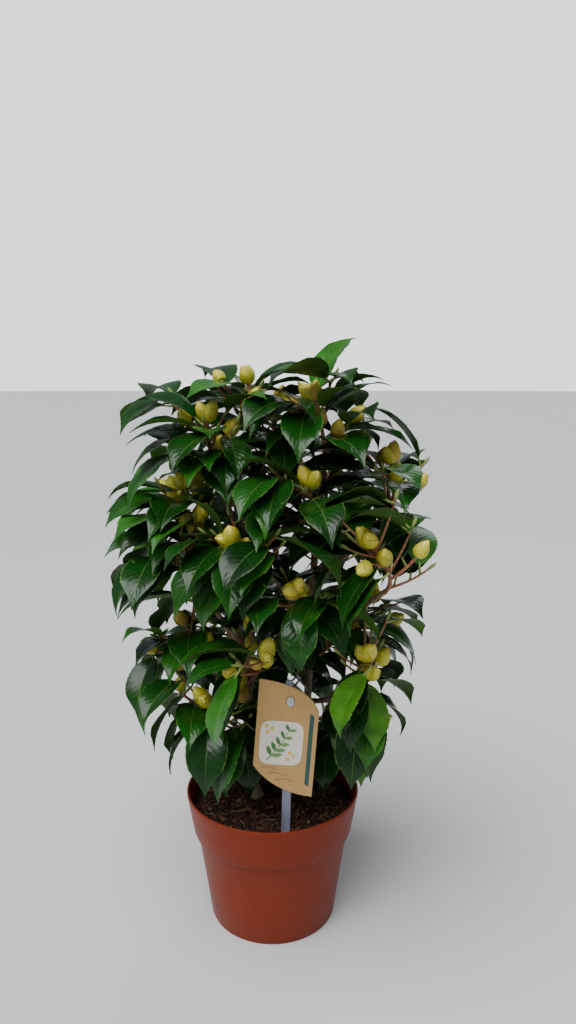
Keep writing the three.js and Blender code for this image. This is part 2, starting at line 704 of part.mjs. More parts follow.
// Sets a leaf on a shoot if it has room there.
function setLeaf({ name, solids }, leaf) {
  const samples = leafSamples(leaf);
  const stalk = [
    leaf.root.clone().lerp(leafPlace(leaf, 0).point, STALK_SAMPLES.onStalk),
    leafPlace(leaf, STALK_SAMPLES.onBlade).point,
  ];
  if (!hasRoom(stalk, name, 0) || !hasRoom(samples, name, 1)) return false;
  takeRoom(name, samples, GAP_TO_LEAVES, OWN_GAP);
  takeRoom(name, stalk, GAP_TO_LIMBS);
  solids.push(solidFrom(leafGeometry(leaf)));
  return true;
}

// The topmost leaf stands up from its shoot's tip and has the highest place on the plant.
const highest = shoots.find(({ name }) => name === UPRIGHT_LEAF.on);
setLeaf(
  highest,
  leafFrom(highest.twigs[0].curve.getPointAt(UPRIGHT_LEAF.at), new THREE.Vector3(...UPRIGHT_LEAF.away), {
    length: UPRIGHT_LEAF.length,
    lift: radians(UPRIGHT_LEAF.lift),
    roll: 0,
  }),
);

// Leaves are set in turn over the whole plant, so that no shoot crowds out the rest. A leaf that
// finds no room at any of the turns tried is left off.
const mostLeaves = Math.max(...shoots.map((shoot) => shoot.leaves.length));
for (let k = 0; k < mostLeaves; k++) {
  shoots.forEach((shoot) => {
    if (k >= shoot.leaves.length) return;
    const { at, curve, turn, spread } = shoot.leaves[k];
    const root = curve.getPointAt(at);
    const axis = curve.getTangentAt(at);
    const [u, v] = squareTo(axis);
    for (const extra of TURNS_TRIED) {
      const angle = radians(turn + extra);
      const away = axis
        .clone()
        .multiplyScalar(Math.cos(radians(spread)))
        .addScaledVector(u, Math.sin(radians(spread)) * Math.cos(angle))
        .addScaledVector(v, Math.sin(radians(spread)) * Math.sin(angle));
      if (setLeaf(shoot, leafFrom(root, away, shoot.leaves[k]))) return;
    }
  });
}

shoots.forEach(({ name, on, at, solids }) => {
  let mass = wasm.Manifold.union(solids);
  if (at < 1) mass = mass.subtract(limbs[on].around);
  addMesh(name, geometryFrom(largestBody(mass.simplify(SIMPLIFY_TO))), "foliage");
});

addMesh("pot", potGeometry(), "terracotta");
addMesh("compost", compostGeometry(), "compost");
addMesh("label_card", cardGeometry(), "card");
addMesh("label_stick", stickGeometry(), "stick");

export default plant;
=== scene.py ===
import math

import bpy
import numpy as np
from mathutils import Matrix, Vector
from mathutils.bvhtree import BVHTree


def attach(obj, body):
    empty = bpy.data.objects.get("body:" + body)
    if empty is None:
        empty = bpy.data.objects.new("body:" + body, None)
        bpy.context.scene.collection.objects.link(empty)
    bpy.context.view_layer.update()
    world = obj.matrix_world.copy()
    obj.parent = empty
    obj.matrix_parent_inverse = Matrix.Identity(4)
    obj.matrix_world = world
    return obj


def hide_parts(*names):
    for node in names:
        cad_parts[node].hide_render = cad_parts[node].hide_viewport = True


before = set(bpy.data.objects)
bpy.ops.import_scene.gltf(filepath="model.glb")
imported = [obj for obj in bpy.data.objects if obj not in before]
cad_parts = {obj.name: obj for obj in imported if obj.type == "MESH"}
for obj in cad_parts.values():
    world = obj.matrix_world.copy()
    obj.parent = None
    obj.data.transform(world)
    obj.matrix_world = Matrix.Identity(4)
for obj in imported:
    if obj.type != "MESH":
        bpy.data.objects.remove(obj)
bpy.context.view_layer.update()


# The pot: a tapered tub of thin terracotta-coloured plastic, injection moulded in one piece. A
# wide collar oversteps the lower body, so that empty pots nest, and six holes drain its floor.

# The radius and height of its skin, in millimetres: up the outside, over the lip, down the inside.
POT_OUTLINE = [
    (60.0, 0.0), (61.4, 0.5), (62.0, 2.0), (68.4, 46.0), (74.3, 85.5), (75.0, 87.2), (76.6, 88.4),
    (77.9, 89.4), (78.5, 91.0), (81.6, 108.0), (84.2, 124.0), (84.9, 127.0), (85.0, 128.6),
    (84.7, 129.6), (84.0, 130.0), (83.2, 129.8), (82.7, 129.0), (82.3, 124.0), (77.0, 92.0),
    (72.9, 88.0), (66.6, 46.0), (60.4, 2.4),
]
DRAIN_HOLES, DRAIN_CIRCLE, DRAIN_RADIUS, DRILL_DEPTH = 6, 0.046, 0.005, 0.01


class Wire:
    """One output of a shader node. Sums and products of wires add their own Math nodes."""

    def __init__(self, socket):
        self.socket = socket
        self.nodes = socket.id_data.nodes
        self.links = socket.id_data.links

    def node(self, kind, inputs, output=0, **settings):
        """Adds a node: its settings come first, then the values and links of its sockets."""
        made = self.nodes.new(kind)
        for name, value in settings.items():
            setattr(made, name, value)
        for key, value in inputs.items():
            self.feed(made.inputs[key], value)
        return Wire(made.outputs[output])

    def feed(self, target, value):
        if isinstance(value, Wire):
            self.links.new(value.socket, target)
        else:
            target.default_value = value

    def math(self, operation, first, second=0.0):
        return self.node("ShaderNodeMath", {0: first, 1: second}, operation=operation)

    def __add__(self, other):
        return self.math("ADD", self, other)

    def __radd__(self, other):
        return self.math("ADD", other, self)

    def __sub__(self, other):
        return self.math("SUBTRACT", self, other)

    def __rsub__(self, other):
        return self.math("SUBTRACT", other, self)

    def __mul__(self, other):
        return self.math("MULTIPLY", self, other)

    def __rmul__(self, other):
        return self.math("MULTIPLY", other, self)

    def stretched(self, *scale):
        """This wire, a place, measured with another scale along each axis."""
        return self.node("ShaderNodeMapping", {"Vector": self, "Scale": scale})

    def noise(self, scale, detail=3.0, roughness=0.5):
        """Cloudy noise from 0 to 1 that reads this wire as its place."""
        values = {"Vector": self, "Scale": scale, "Detail": detail, "Roughness": roughness}
        return self.node("ShaderNodeTexNoise", values)

    def between(self, low, painted_light_share):
        """0 below low, 1 above high, and a smooth ramp between them."""
        values = {"Value": self, "From Min": low, "From Max": painted_light_share}
        return self.node("ShaderNodeMapRange", values, interpolation_type="SMOOTHSTEP")

    def blend(self, *ends):
        """A colour that goes from one end to the other as this wire goes from 0 to 1."""
        first, second = [end if isinstance(end, Wire) else (*end, 1.0) for end in ends]
        values = {0: self, 6: first, 7: second}
        return self.node("ShaderNodeMix", values, output=2, data_type="RGBA")

    def bump(self, strength, distance):
        """A normal that reads this wire as a height."""
        values = {"Height": self, "Strength": strength, "Distance": distance}
        return self.node("ShaderNodeBump", values)


def new_finish(name, colour, roughness, **constants):
    """A material, its shader's inputs, and a wire with the place on the object in metres."""
    material = bpy.data.materials.new(name)
    material.use_nodes = True
    shader = material.node_tree.nodes["Principled BSDF"].inputs
    shader["Base Color"].default_value = (*colour, 1.0)
    shader["Roughness"].default_value = roughness
    for socket, value in constants.items():
        shader[socket.replace("_", " ")].default_value = value
    place = material.node_tree.nodes.new("ShaderNodeTexCoord")
    return material, shader, Wire(place.outputs["Object"])


def choose(piece):
    """Makes the piece the one that the next operators act on."""
    bpy.ops.object.select_all(action="DESELECT")
    piece.select_set(True)
    bpy.context.view_layer.objects.active = piece


def shade_smooth(piece, degrees):
    choose(piece)
    bpy.ops.object.shade_smooth_by_angle(angle=math.radians(degrees))


def turn_outwards(piece, join_within=0.0):
    """Joins corners that lie on one another, and turns the faces of every closed skin outwards."""
    choose(piece)
    bpy.ops.object.mode_set(mode="EDIT")
    bpy.ops.mesh.select_all(action="SELECT")
    if join_within:
        bpy.ops.mesh.remove_doubles(threshold=join_within)
    bpy.ops.mesh.normals_make_consistent(inside=False)
    bpy.ops.object.mode_set(mode="OBJECT")


def settle(piece, slot, *nodes):
    """Rides the piece on the one body, in place of the named nodes."""
    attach(piece, "root")
    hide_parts(*nodes)


def round_piece(name, outline, around):
    """A closed round piece, drawn up from a disc by the radius and height of one ring after another."""
    radius, height = outline[0]
    bpy.ops.object.select_all(action="DESELECT")
    bpy.ops.mesh.primitive_circle_add(
        vertices=around, radius=radius / 1000, fill_type="NGON", location=(0, 0, height / 1000)
    )
    piece = bpy.context.object
    piece.name = name
    bpy.ops.object.transform_apply(location=True)
    bpy.ops.object.mode_set(mode="EDIT")
    bpy.ops.mesh.select_all(action="SELECT")
    for (radius, height), (next_radius, next_height) in zip(outline, outline[1:]):
        climb = (0, 0, (next_height - height) / 1000)
        bpy.ops.mesh.extrude_region_move(TRANSFORM_OT_translate={"value": climb})
        widen = next_radius / radius
        bpy.ops.transform.resize(value=(widen, widen, 1), center_override=(0, 0, 0))
    bpy.ops.object.mode_set(mode="OBJECT")
    turn_outwards(piece)
    return piece


pot = round_piece("pot_shell", POT_OUTLINE, 144)
for hole in range(DRAIN_HOLES):
    turn = math.tau * (hole + 0.5) / DRAIN_HOLES
    place = (DRAIN_CIRCLE * math.cos(turn), DRAIN_CIRCLE * math.sin(turn), 0.1 * DRILL_DEPTH)
    bpy.ops.mesh.primitive_cylinder_add(
        vertices=32, radius=DRAIN_RADIUS, depth=DRILL_DEPTH, location=place
    )
    drill = bpy.context.object
    cut = pot.modifiers.new("drain", "BOOLEAN")
    cut.object = drill
    cut.operation = "DIFFERENCE"
    bpy.context.view_layer.objects.active = pot
    bpy.ops.object.modifier_apply(modifier=cut.name)
    bpy.data.objects.remove(drill)

terracotta, shader, place = new_finish(
    "moulded terracotta plastic", (0.18, 0.024, 0.0075), 0.42, Specular_IOR_Level=0.14
)
clouds = place.noise(9.0)
scuffs = place.noise(60.0, 6.0, 0.65).between(0.5, 0.78)
dust = place.noise(22.0, 5.0, 0.6).between(0.45, 0.9)
base = clouds.blend((0.165, 0.021, 0.0065), (0.2, 0.027, 0.0085))
place.feed(shader["Base Color"], (dust * 0.16).blend(base, (0.28, 0.1, 0.05)))
place.feed(shader["Roughness"], 0.4 + scuffs * 0.14 + dust * 0.1)
place.feed(shader["Normal"], place.noise(260.0, 4.0).bump(0.12, 0.0004))
pot.data.materials.append(terracotta)
shade_smooth(pot, 32)
settle(pot, "pot", "pot")


# The compost: dark, damp peat and shredded bark, pressed in by hand to just under the rim. Its
# top is uneven, with chips of bark and reddish fibres lying loose on it.

# In millimetres: the radius and height of its side, then how many rings its top has, half of the
# top's rise, the radius of its last ring, and the height above which the reliefs move it.
COMPOST_SIDE = [(59.4, 2.8), (65.8, 46), (72.2, 87.8), (76.2, 92.4), (79.4, 110.5)]
TOP_RINGS, TOP_SWELL, LAST_RING, TOP_FROM = 44, 1.75, 0.4, 105
# Each relief has its grain size and its height.
COMPOST_RELIEF = {"heaps": (0.022, 0.0045), "crumbs": (0.006, 0.0032), "grains": (0.0022, 0.0014)}


def roughen(piece, reliefs, depth=2, **settings):
    """Moves the piece's skin in and out by cloudy reliefs, the coarse ones first."""
    for name, (size, strength) in reliefs.items():
        texture = bpy.data.textures.new(name, "CLOUDS")
        texture.noise_scale = size
        texture.noise_depth = depth
        relief = piece.modifiers.new(name, "DISPLACE")
        relief.texture = texture
        relief.texture_coords = "LOCAL"
        relief.mid_level = 0.5
        relief.strength = strength
        for setting, value in settings.items():
            setattr(relief, setting, value)
        bpy.context.view_layer.objects.active = piece
        bpy.ops.object.modifier_apply(modifier=name)


steps = list(COMPOST_SIDE)
edge, brim = COMPOST_SIDE[-1]
for ring in range(1, TOP_RINGS + 1):
    share = ring / TOP_RINGS
    rise = TOP_SWELL * (1 - math.cos(math.pi * share))
    steps.append((edge * (1 - share) + LAST_RING, brim + rise))
compost = round_piece("compost_bed", steps, 128)
top = [vertex.index for vertex in compost.data.vertices if vertex.co.z > TOP_FROM / 1000]
compost.vertex_groups.new(name="top").add(top, 1.0, "REPLACE")
roughen(compost, COMPOST_RELIEF, 3, direction="Z", vertex_group="top")

peat, shader, place = new_finish("damp peat", (0.03, 0.014, 0.008), 0.9, Specular_IOR_Level=0.25)
tone = place.noise(420.0, 5.0, 0.7).between(0.4, 0.66)
place.feed(shader["Base Color"], tone.blend((0.007, 0.003, 0.0018), (0.052, 0.018, 0.007)))
place.feed(shader["Normal"], place.noise(900.0, 5.0, 0.7).bump(0.9, 0.0012))
compost.data.materials.append(peat)
shade_smooth(compost, 60)
settle(compost, "compost", "compost")


def joined_piece(name, vertices, faces, tones, materials):
    """One mesh from arrays, in millimetres: each face gets the material that its tone names."""
    mesh = bpy.data.meshes.new(name)
    mesh.from_pydata((np.asarray(vertices) / 1000).tolist(), [], faces)
    for material in materials:
        mesh.materials.append(material)
    mesh.polygons.foreach_set("material_index", tones)
    mesh.update()
    piece = bpy.data.objects.new(name, mesh)
    bpy.context.scene.collection.objects.link(piece)
    return piece


# The height of the bed where it ends at the pot's wall.
EDGE_OF_BED = 111.0


def compost_height(x, y):
    """The height of the bed under a place, in millimetres."""
    hit, where, _, _ = compost.ray_cast(Vector((x / 1000, y / 1000, 0.2)), Vector((0, 0, -1)))
    return where.z * 1000 if hit else EDGE_OF_BED


def ring_faces(first, around):
    """The faces between a ring of corners and the next ring up."""
    turns = [(k, (k + 1) % around) for k in range(around)]
    return [(first + k, first + n, first + around + n, first + around + k) for k, n in turns]


# Bark chips and crumbs, each a crooked little block, tipped as it fell.
CHIPS, LARGE_CHIPS, CHIP_REACH, CHIP_TIP = 1500, 421, 77, 0.4
LARGE_CHIP_SIZE, SMALL_CHIP_SIZE = (1.6, 3.4), (0.8, 1.6)
chance = np.random.default_rng(11)
BLOCK_FACES = [(0, 1, 3, 2), (4, 6, 7, 5), (0, 4, 5, 1), (2, 3, 7, 6), (0, 2, 6, 4), (1, 5, 7, 3)]
vertices, faces, tones = [], [], []
for chip in range(CHIPS):
    reach = CHIP_REACH * math.sqrt(chance.random())
    turn = math.tau * chance.random()
    x, y = reach * math.cos(turn), reach * math.sin(turn)
    size = chance.uniform(*(LARGE_CHIP_SIZE if chip < LARGE_CHIPS else SMALL_CHIP_SIZE))
    sides = Vector((size * chance.uniform(1.0, 2.6), size, size * chance.uniform(0.3, 0.8)))
    tilt = Matrix.Rotation(math.tau * chance.random(), 3, "Z")
    rolled = Matrix.Rotation(chance.normal(0, CHIP_TIP), 3, "X")
    tilt @= rolled @ Matrix.Rotation(chance.normal(0, CHIP_TIP), 3, "Y")
    centre = Vector((x, y, compost_height(x, y) + 0.2 * sides.z))
    first = len(vertices)
    for corner in range(8):
        signs = [(corner >> axis & 1) - 0.5 for axis in range(3)]
        bent = [sign * side * chance.uniform(0.7, 1.1) for sign, side in zip(signs, sides)]
        vertices.append(centre + tilt @ Vector(bent))
    faces += [tuple(first + k for k in face) for face in BLOCK_FACES]
    tones += [int(chance.choice(4, p=[0.45, 0.27, 0.18, 0.1]))] * 6

chip_finishes = []
for name, colour in (
    ("dark crumb", (0.013, 0.006, 0.0035)),
    ("brown chip", (0.05, 0.02, 0.009)),
    ("red chip", (0.125, 0.04, 0.015)),
    ("pale chip", (0.2, 0.11, 0.05)),
):
    finish, shader, place = new_finish(name, colour, 0.85)
    place.feed(shader["Normal"], place.noise(700.0, 4.0).bump(0.6, 0.0005))
    chip_finishes.append(finish)
chips = joined_piece("bark_chips", vertices, faces, tones, chip_finishes)
turn_outwards(chips)
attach(chips, "root")

# Fibres of shredded bark: thin, crooked three-sided strands that lie on the bed.
FIBRES, FIBRE_REACH, BED_REACH, FIBRE_RINGS = 620, 73, 76, 5
FIBRE_LENGTH, FIBRE_RADIUS, FIBRE_LIFT = (4, 15), (0.25, 0.5), (0.2, 1.3)
vertices, faces, tones = [], [], []
for fibre in range(FIBRES):
    reach = FIBRE_REACH * math.sqrt(chance.random())
    turn, heading = math.tau * chance.random(), math.tau * chance.random()
    x, y = reach * math.cos(turn), reach * math.sin(turn)
    long, thick = chance.uniform(*FIBRE_LENGTH), chance.uniform(*FIBRE_RADIUS)
    first = len(vertices)
    for ring in range(FIBRE_RINGS):
        heading += chance.normal(0, 0.3)
        lift = chance.uniform(*FIBRE_LIFT) + thick
        for corner in range(3):
            around = math.tau * corner / 3
            out = thick * math.cos(around)
            vertices.append((
                x - math.sin(heading) * out,
                y + math.cos(heading) * out,
                compost_height(x, y) + lift + thick * math.sin(around),
            ))
        step = long / (FIBRE_RINGS - 1)
        x, y = x + math.cos(heading) * step, y + math.sin(heading) * step
        if math.hypot(x, y) > BED_REACH:
            x, y = x * 0.96, y * 0.96
    last = len(vertices) - 3
    for ring in range(first, last, 3):
        faces += ring_faces(ring, 3)
    faces += [(first + 2, first + 1, first), (last, last + 1, last + 2)]
    tones += [int(chance.choice(4, p=[0.1, 0.3, 0.42, 0.18]))] * (3 * (FIBRE_RINGS - 1) + 2)
fibres = joined_piece("bark_fibres", vertices, faces, tones, chip_finishes)
turn_outwards(fibres)
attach(fibres, "root")


# The stems and boughs: three woody stems stand in the compost, each with a flared foot, and carry
# tapering boughs. The bark is grey-brown, finely cracked, and ringed where old leaves fell.

COMPOST_LEVEL, STEM_SUNK, JOINT_GAP = 115, 4, 0.3
UP = np.array([0.0, 0.0, 1.0])
# A stem has its foot and the places that it bends to, and its radii; a bough has the stem that it
# leaves and where, its tip and its radii.
STEMS = {
    "stem_front": ([(-16, 6), (-37, 6, 205), (-8, -4, 305), (-31, -5, 404)], (5, 3.6)),
    "stem_right": ([(30, 14), (38, 14, 230), (34, -6, 340), (48, -16, 446)], (4.4, 2.8)),
    "stem_back": ([(2, 38), (14, 40, 220), (2, 58, 330), (0, 46, 440)], (4.6, 2.8)),
}
BOUGHS = {
    "bough_left": ("stem_front", 0.52, (-72, -16, 350), (3, 2.2)),
    "bough_front": ("stem_front", 0.68, (-14, -58, 362), (2.8, 2.2)),
    "bough_top_left": ("stem_front", 0.92, (-50, -26, 448), (2.8, 2.2)),
    "bough_top": ("stem_front", 1, (-23, -10, 464), (3.3, 2.4)),
    "bough_low_right": ("stem_right", 0.3, (72, -38, 244), (2.8, 2.2)),
    "bough_front_right": ("stem_right", 0.54, (98, -76, 350), (2.8, 2.2)),
    "bough_right": ("stem_right", 0.68, (104, -16, 406), (2.8, 2.2)),
    "bough_back_left": ("stem_back", 0.5, (-60, 66, 344), (3, 2.2)),
    "bough_back_right": ("stem_back", 0.56, (64, 68, 356), (3, 2.2)),
    "bough_back": ("stem_back", 0.68, (2, 90, 396), (2.8, 2.2)),
}


class Curve:
    """A Bezier curve in millimetres that is walked by its length, from 0 at its foot to 1."""

    def __init__(self, corners):
        self.corners = [np.asarray(corner, float) for corner in corners]
        steps = np.array([self.bezier(t) for t in np.linspace(0, 1, 201)])
        lengths = np.linalg.norm(np.diff(steps, axis=0), axis=1)
        self.walked = np.concatenate([[0], np.cumsum(lengths)])
        self.length = self.walked[-1]

    def bezier(self, t):
        points = self.corners
        while len(points) > 1:
            points = [a + (b - a) * t for a, b in zip(points, points[1:])]
        return points[0]

    def share(self, at):
        return np.interp(at * self.length, self.walked, np.linspace(0, 1, 201))

    def point(self, at):
        return self.bezier(self.share(at))

    def run(self, at):
        """The direction of the curve."""
        t = self.share(at)
        step = self.bezier(min(1, t + 1e-4)) - self.bezier(max(0, t - 1e-4))
        return step / np.linalg.norm(step)

    def spaced(self, count):
        return [self.point(k / count) for k in range(count + 1)]


def unit(vector):
    return vector / np.linalg.norm(vector)


def square_to(axis):
    """Two directions square to an axis."""
    reference = UP if abs(axis[2]) < 0.9 else np.array([1.0, 0, 0])
    u = unit(np.cross(reference, axis))
    return u, np.cross(axis, u)


def curve_from(limb, at, tip):
    """A curve that leaves a limb and bends up to its own tip."""
    start, end = limb.point(at), np.asarray(tip, float)
    far = np.linalg.norm(end - start)
    if at == 1:
        start = start + limb.run(1) * JOINT_GAP
        bend = start + limb.run(1) * far * 0.4
    else:
        bend = start + (end - start) * 0.45 - UP * far * 0.1
    return Curve([start, bend, end])


def grow_wood(name, runs, sides):
    """One mesh of round rods. Each run is a list of places with the rod's radius there."""
    data = bpy.data.curves.new(name, "CURVE")
    data.dimensions = "3D"
    data.bevel_depth = 0.001
    data.bevel_resolution = sides // 4 - 1
    data.use_fill_caps = True
    for places, radii in runs:
        spline = data.splines.new("POLY")
        spline.points.add(len(places) - 1)
        for point, place, radius in zip(spline.points, places, radii):
            point.co = (*(np.asarray(place) / 1000), 1)
            point.radius = radius
    piece = bpy.data.objects.new(name, data)
    bpy.context.scene.collection.objects.link(piece)
    choose(piece)
    bpy.ops.object.convert(target="MESH")
    turn_outwards(piece, join_within=0.000001)
    return piece


# In millimetres: the step along a limb's mesh, the height of a stem's flare, half the width of a
# ring, and how far apart the rings are. A ring's and a flare's rise are shares of the radius.
WOOD_STEP, FLARE_HEIGHT, RING_HALF_WIDTH = 1.6, 12, 1.5
STEM_RINGS, BOUGH_RINGS, TWIG_RINGS = 21, 17, 16
RING_RISE, STEM_FLARE = 0.13, 0.45


def ringed(curve, radii, spacing, flare=0.0):
    """A tapering run with a low ring at every old leaf's place and a flare at its foot."""
    count = max(4, round(curve.length / WOOD_STEP))
    walked = np.linspace(0, curve.length, count + 1)
    radius = radii[0] + (radii[1] - radii[0]) * walked / curve.length
    radius = radius * (1 + flare * np.clip(1 - walked / FLARE_HEIGHT, 0, 1) ** 1.5)
    from_ring = (walked + 0.31 * spacing) % spacing
    nearest = np.minimum(from_ring, spacing - from_ring)
    radius = radius * (1 + RING_RISE * np.exp(-((nearest / RING_HALF_WIDTH) ** 2)))
    return curve.spaced(count), radius


limbs, limb_radii, runs = {}, {}, []
for name, (corners, radii) in STEMS.items():
    foot = (*corners[0], COMPOST_LEVEL + JOINT_GAP)
    limbs[name] = Curve([foot, *corners[1:]])
    limb_radii[name] = radii
    runs.append(ringed(limbs[name], radii, STEM_RINGS, STEM_FLARE))
for name, (on, at, tip, radii) in BOUGHS.items():
    limbs[name] = curve_from(limbs[on], at, tip)
    limb_radii[name] = radii
    runs.append(ringed(limbs[name], radii, BOUGH_RINGS))
for k, (places, radii) in enumerate(runs[:len(STEMS)]):
    runs[k] = [places[0] - UP * STEM_SUNK, *places], np.insert(radii, 0, radii[0] * 1.05)

wood = grow_wood("stems_and_boughs", runs, 16)
roughen(wood, {"bark plates": (0.006, 0.0008), "bark grain": (0.0016, 0.0003)})

bark, shader, place = new_finish("grey-brown bark", (0.26, 0.17, 0.11), 0.75)
grain = place.stretched(900.0, 900.0, 160.0).noise(1.0, 5.0, 0.65)
patches = place.noise(55.0, 3.0)
colour = grain.between(0.36, 0.62).blend((0.15, 0.09, 0.055), (0.36, 0.25, 0.165))
place.feed(shader["Base Color"], (patches.between(0.46, 0.7) * 0.45).blend(colour, (0.17, 0.15, 0.09)))
place.feed(shader["Normal"], grain.bump(0.4, 0.0005))
wood.data.materials.append(bark)
shade_smooth(wood, 60)
settle(wood, "bark", *STEMS, *BOUGHS)


# The twigs: each limb's tip, and places up the stems, carry a shoot of this year's wood, red-brown
# and smooth, with shorter side twigs. Where room is left between them, finer twigs fill in.

# Each shoot has the limb that it leaves and where, and its tip.
SHOOTS = {
    "shoot_top": ("bough_top", 1, (-21, -8, 527)),
    "shoot_top_left": ("bough_top_left", 1, (-56, -32, 494)),
    "shoot_top_right": ("stem_right", 1, (38, -22, 512)),
    "shoot_top_back": ("stem_back", 1, (6, 52, 508)),
    "shoot_right": ("bough_right", 1, (109, -20, 456)),
    "shoot_left": ("bough_left", 1, (-80, -20, 432)),
    "shoot_front": ("bough_front", 1, (-30, -88, 396)),
    "shoot_front_right": ("bough_front_right", 1, (84, -98, 396)),
    "shoot_back": ("bough_back", 1, (4, 96, 462)),
    "shoot_back_left": ("bough_back_left", 1, (-74, 68, 412)),
    "shoot_back_right": ("bough_back_right", 1, (74, 68, 424)),
    "shoot_middle": ("stem_right", 0.72, (34, -62, 440)),
    "shoot_mid_front": ("stem_right", 0.58, (22, -82, 352)),
    "shoot_upper_left": ("stem_back", 0.84, (-48, 38, 452)),
    "shoot_upper_right": ("stem_right", 0.8, (62, 34, 468)),
    "shoot_low_right": ("bough_low_right", 1, (82, -72, 290)),
    "shoot_foot_right": ("stem_right", 0.14, (84, 12, 218)),
    "shoot_side_right": ("stem_right", 0.42, (96, 18, 316)),
    "shoot_low_front": ("stem_front", 0.42, (-4, -72, 292)),
    "shoot_foot_left": ("stem_front", 0.24, (-60, -42, 236)),
    "shoot_side_left": ("stem_front", 0.36, (-86, 6, 296)),
    "shoot_foot_back": ("stem_back", 0.2, (6, 90, 236)),
    "shoot_side_back_left": ("stem_back", 0.34, (-60, 78, 276)),
    "shoot_side_back_right": ("stem_back", 0.38, (62, 84, 290)),
}
# The crown's half breadth at a height.
REACH = [(120, 60), (150, 104), (220, 140), (320, 158), (440, 160), (520, 136), (570, 80)]
LOWEST_LEAF, HIGHEST_LEAF, HIGHEST_FINE_LEAF = 137, 570, 544
OWNERS = [*STEMS, *BOUGHS, *SHOOTS, "view"]
GAP_TO_LEAVES, GAP_TO_LIMBS, OWN_GAP, OWN_BUD_GAP = 7.2, 5.5, 6, 9.5
VIEW_TO_LABEL = {"middle": (14.5, -60), "climb": 0.4, "gap": 10}
TWIG_RADII, SIDE_TWIG_RADII = (2.1, 1.5), (1.6, 1.3)
SIDE_TWIG_SHARE, SIDE_TWIG_SPARE, SHORTEST_SIDE_TWIG = 0.5, (0.8, 0.4), 20
SIDE_TWIG_PLACES, SIDE_TWIG_TURN = (0.3, 0.58), 120
FIRST_SEED, SEED_STEP = 7, 131
# A curve is tested at places this far apart, and against what is taken within this reach.
SAMPLE_STEP, NEAR_ENOUGH = 6, 80


def seeded(state):
    """Numbers from 0 to 1, the same on every run."""
    def draw():
        nonlocal state
        state = (state * 1664525 + 1013904223) % 4294967296
        return state / 4294967296
    return draw


class Room:
    """Places that are taken, each with its owner and the gaps that others and its own keep."""

    def __init__(self):
        self.at, self.facts = [], []
        self.arrays = None

    def take(self, owner, points, gap, own_gap=0, firm=False):
        """Marks places as taken. A firm gap is kept by everything, whatever its ease."""
        self.at += list(points)
        self.facts += [(OWNERS.index(owner), gap, own_gap, firm)] * len(points)
        self.arrays = None

    def free(self, points, owner, own_share, ease=1.0):
        """Whether places are clear. Ease shrinks all gaps but the firm ones that open views."""
        points = np.asarray(points)
        height = points[:, 2]
        highest = HIGHEST_LEAF if ease == 1 else HIGHEST_FINE_LEAF
        if height.min() < LOWEST_LEAF or height.max() > highest:
            return False
        limit = np.interp(height, *zip(*REACH))
        if (np.hypot(points[:, 0], points[:, 1]) > limit).any():
            return False
        if self.arrays is None:
            self.arrays = np.array(self.at), *np.array(self.facts, float).T
        at, owners, gaps, own_gaps, firm = self.arrays
        near = (np.abs(at - points.mean(0)) < NEAR_ENOUGH).all(1)
        mine = owners[near] == OWNERS.index(owner)
        gap = np.where(mine, own_share * own_gaps[near], gaps[near]) * np.where(firm[near], 1, ease)
        apart = np.linalg.norm(points[:, None] - at[near][None], axis=2)
        return bool((apart >= gap).all())


def along(curve):
    return curve.spaced(math.ceil(curve.length / SAMPLE_STEP))


room = Room()
for name, limb in limbs.items():
    room.take(name, along(limb), GAP_TO_LIMBS + sum(limb_radii[name]) / 2)
# The space before the label stays open.
for across in range(-28, 29, 14):
    for forward in range(0, 85, 14):
        for height in range(146, 269, 14):
            x, y = VIEW_TO_LABEL["middle"]
            place = (x + across, y - forward, height + VIEW_TO_LABEL["climb"] * forward)
            room.take("view", [place], VIEW_TO_LABEL["gap"], firm=True)

shoots = []
for index, (name, (on, at, tip)) in enumerate(SHOOTS.items()):
    main = curve_from(limbs[on], at, tip)
    room.take(name, along(main), GAP_TO_LIMBS)
    draw = seeded(FIRST_SEED + SEED_STEP * index)
    shoots.append({"name": name, "draw": draw, "twigs": [(main, TWIG_RADII)]})


def side_twig(main, place, long, turn):
    """A twig that leaves another one's side and turns up towards the light."""
    start, axis = main.point(place), main.run(place)
    u, v = square_to(axis)
    away = unit(axis * 0.75 + u * math.cos(turn) + v * math.sin(turn))
    return Curve([start, start + away * long * 0.6, start + away * long + UP * long * 0.2])


for shoot in shoots:
    main, draw = shoot["twigs"][0][0], shoot["draw"]
    for count, place in enumerate(SIDE_TWIG_PLACES):
        least, spare = SIDE_TWIG_SPARE
        long = main.length * SIDE_TWIG_SHARE * (least + spare * draw())
        turn = math.radians(180 * count + SIDE_TWIG_TURN * draw())
        twig = side_twig(main, place, long, turn)
        if long >= SHORTEST_SIDE_TWIG and room.free(along(twig), shoot["name"], 0):
            shoot["twigs"].append((twig, SIDE_TWIG_RADII))
            room.take(shoot["name"], along(twig), GAP_TO_LIMBS)


# The leaves: thick, glossy and evergreen, each on a short yellow-green stalk. The blade is folded
# along a pale midrib, arches to a drawn-out tip, and is paler and duller underneath.

# Lengths are in millimetres and turns in degrees. A leaf hangs more the lower it grows.
LEAF_LENGTH, LEAF_WIDTH_SHARE, PETIOLE = (60, 82), 0.5, 9
LEAF_BEND, LEAF_LIFT, LEAF_ROLL, LEAF_RISE_SHARE = (50, 68), 13, 16, 0.75
LIFTED_ABOVE, HANGING_BELOW, HANGING_DROP = 430, 230, 34
STEEPEST_FALL, STEEPEST_TIP = 78, 84
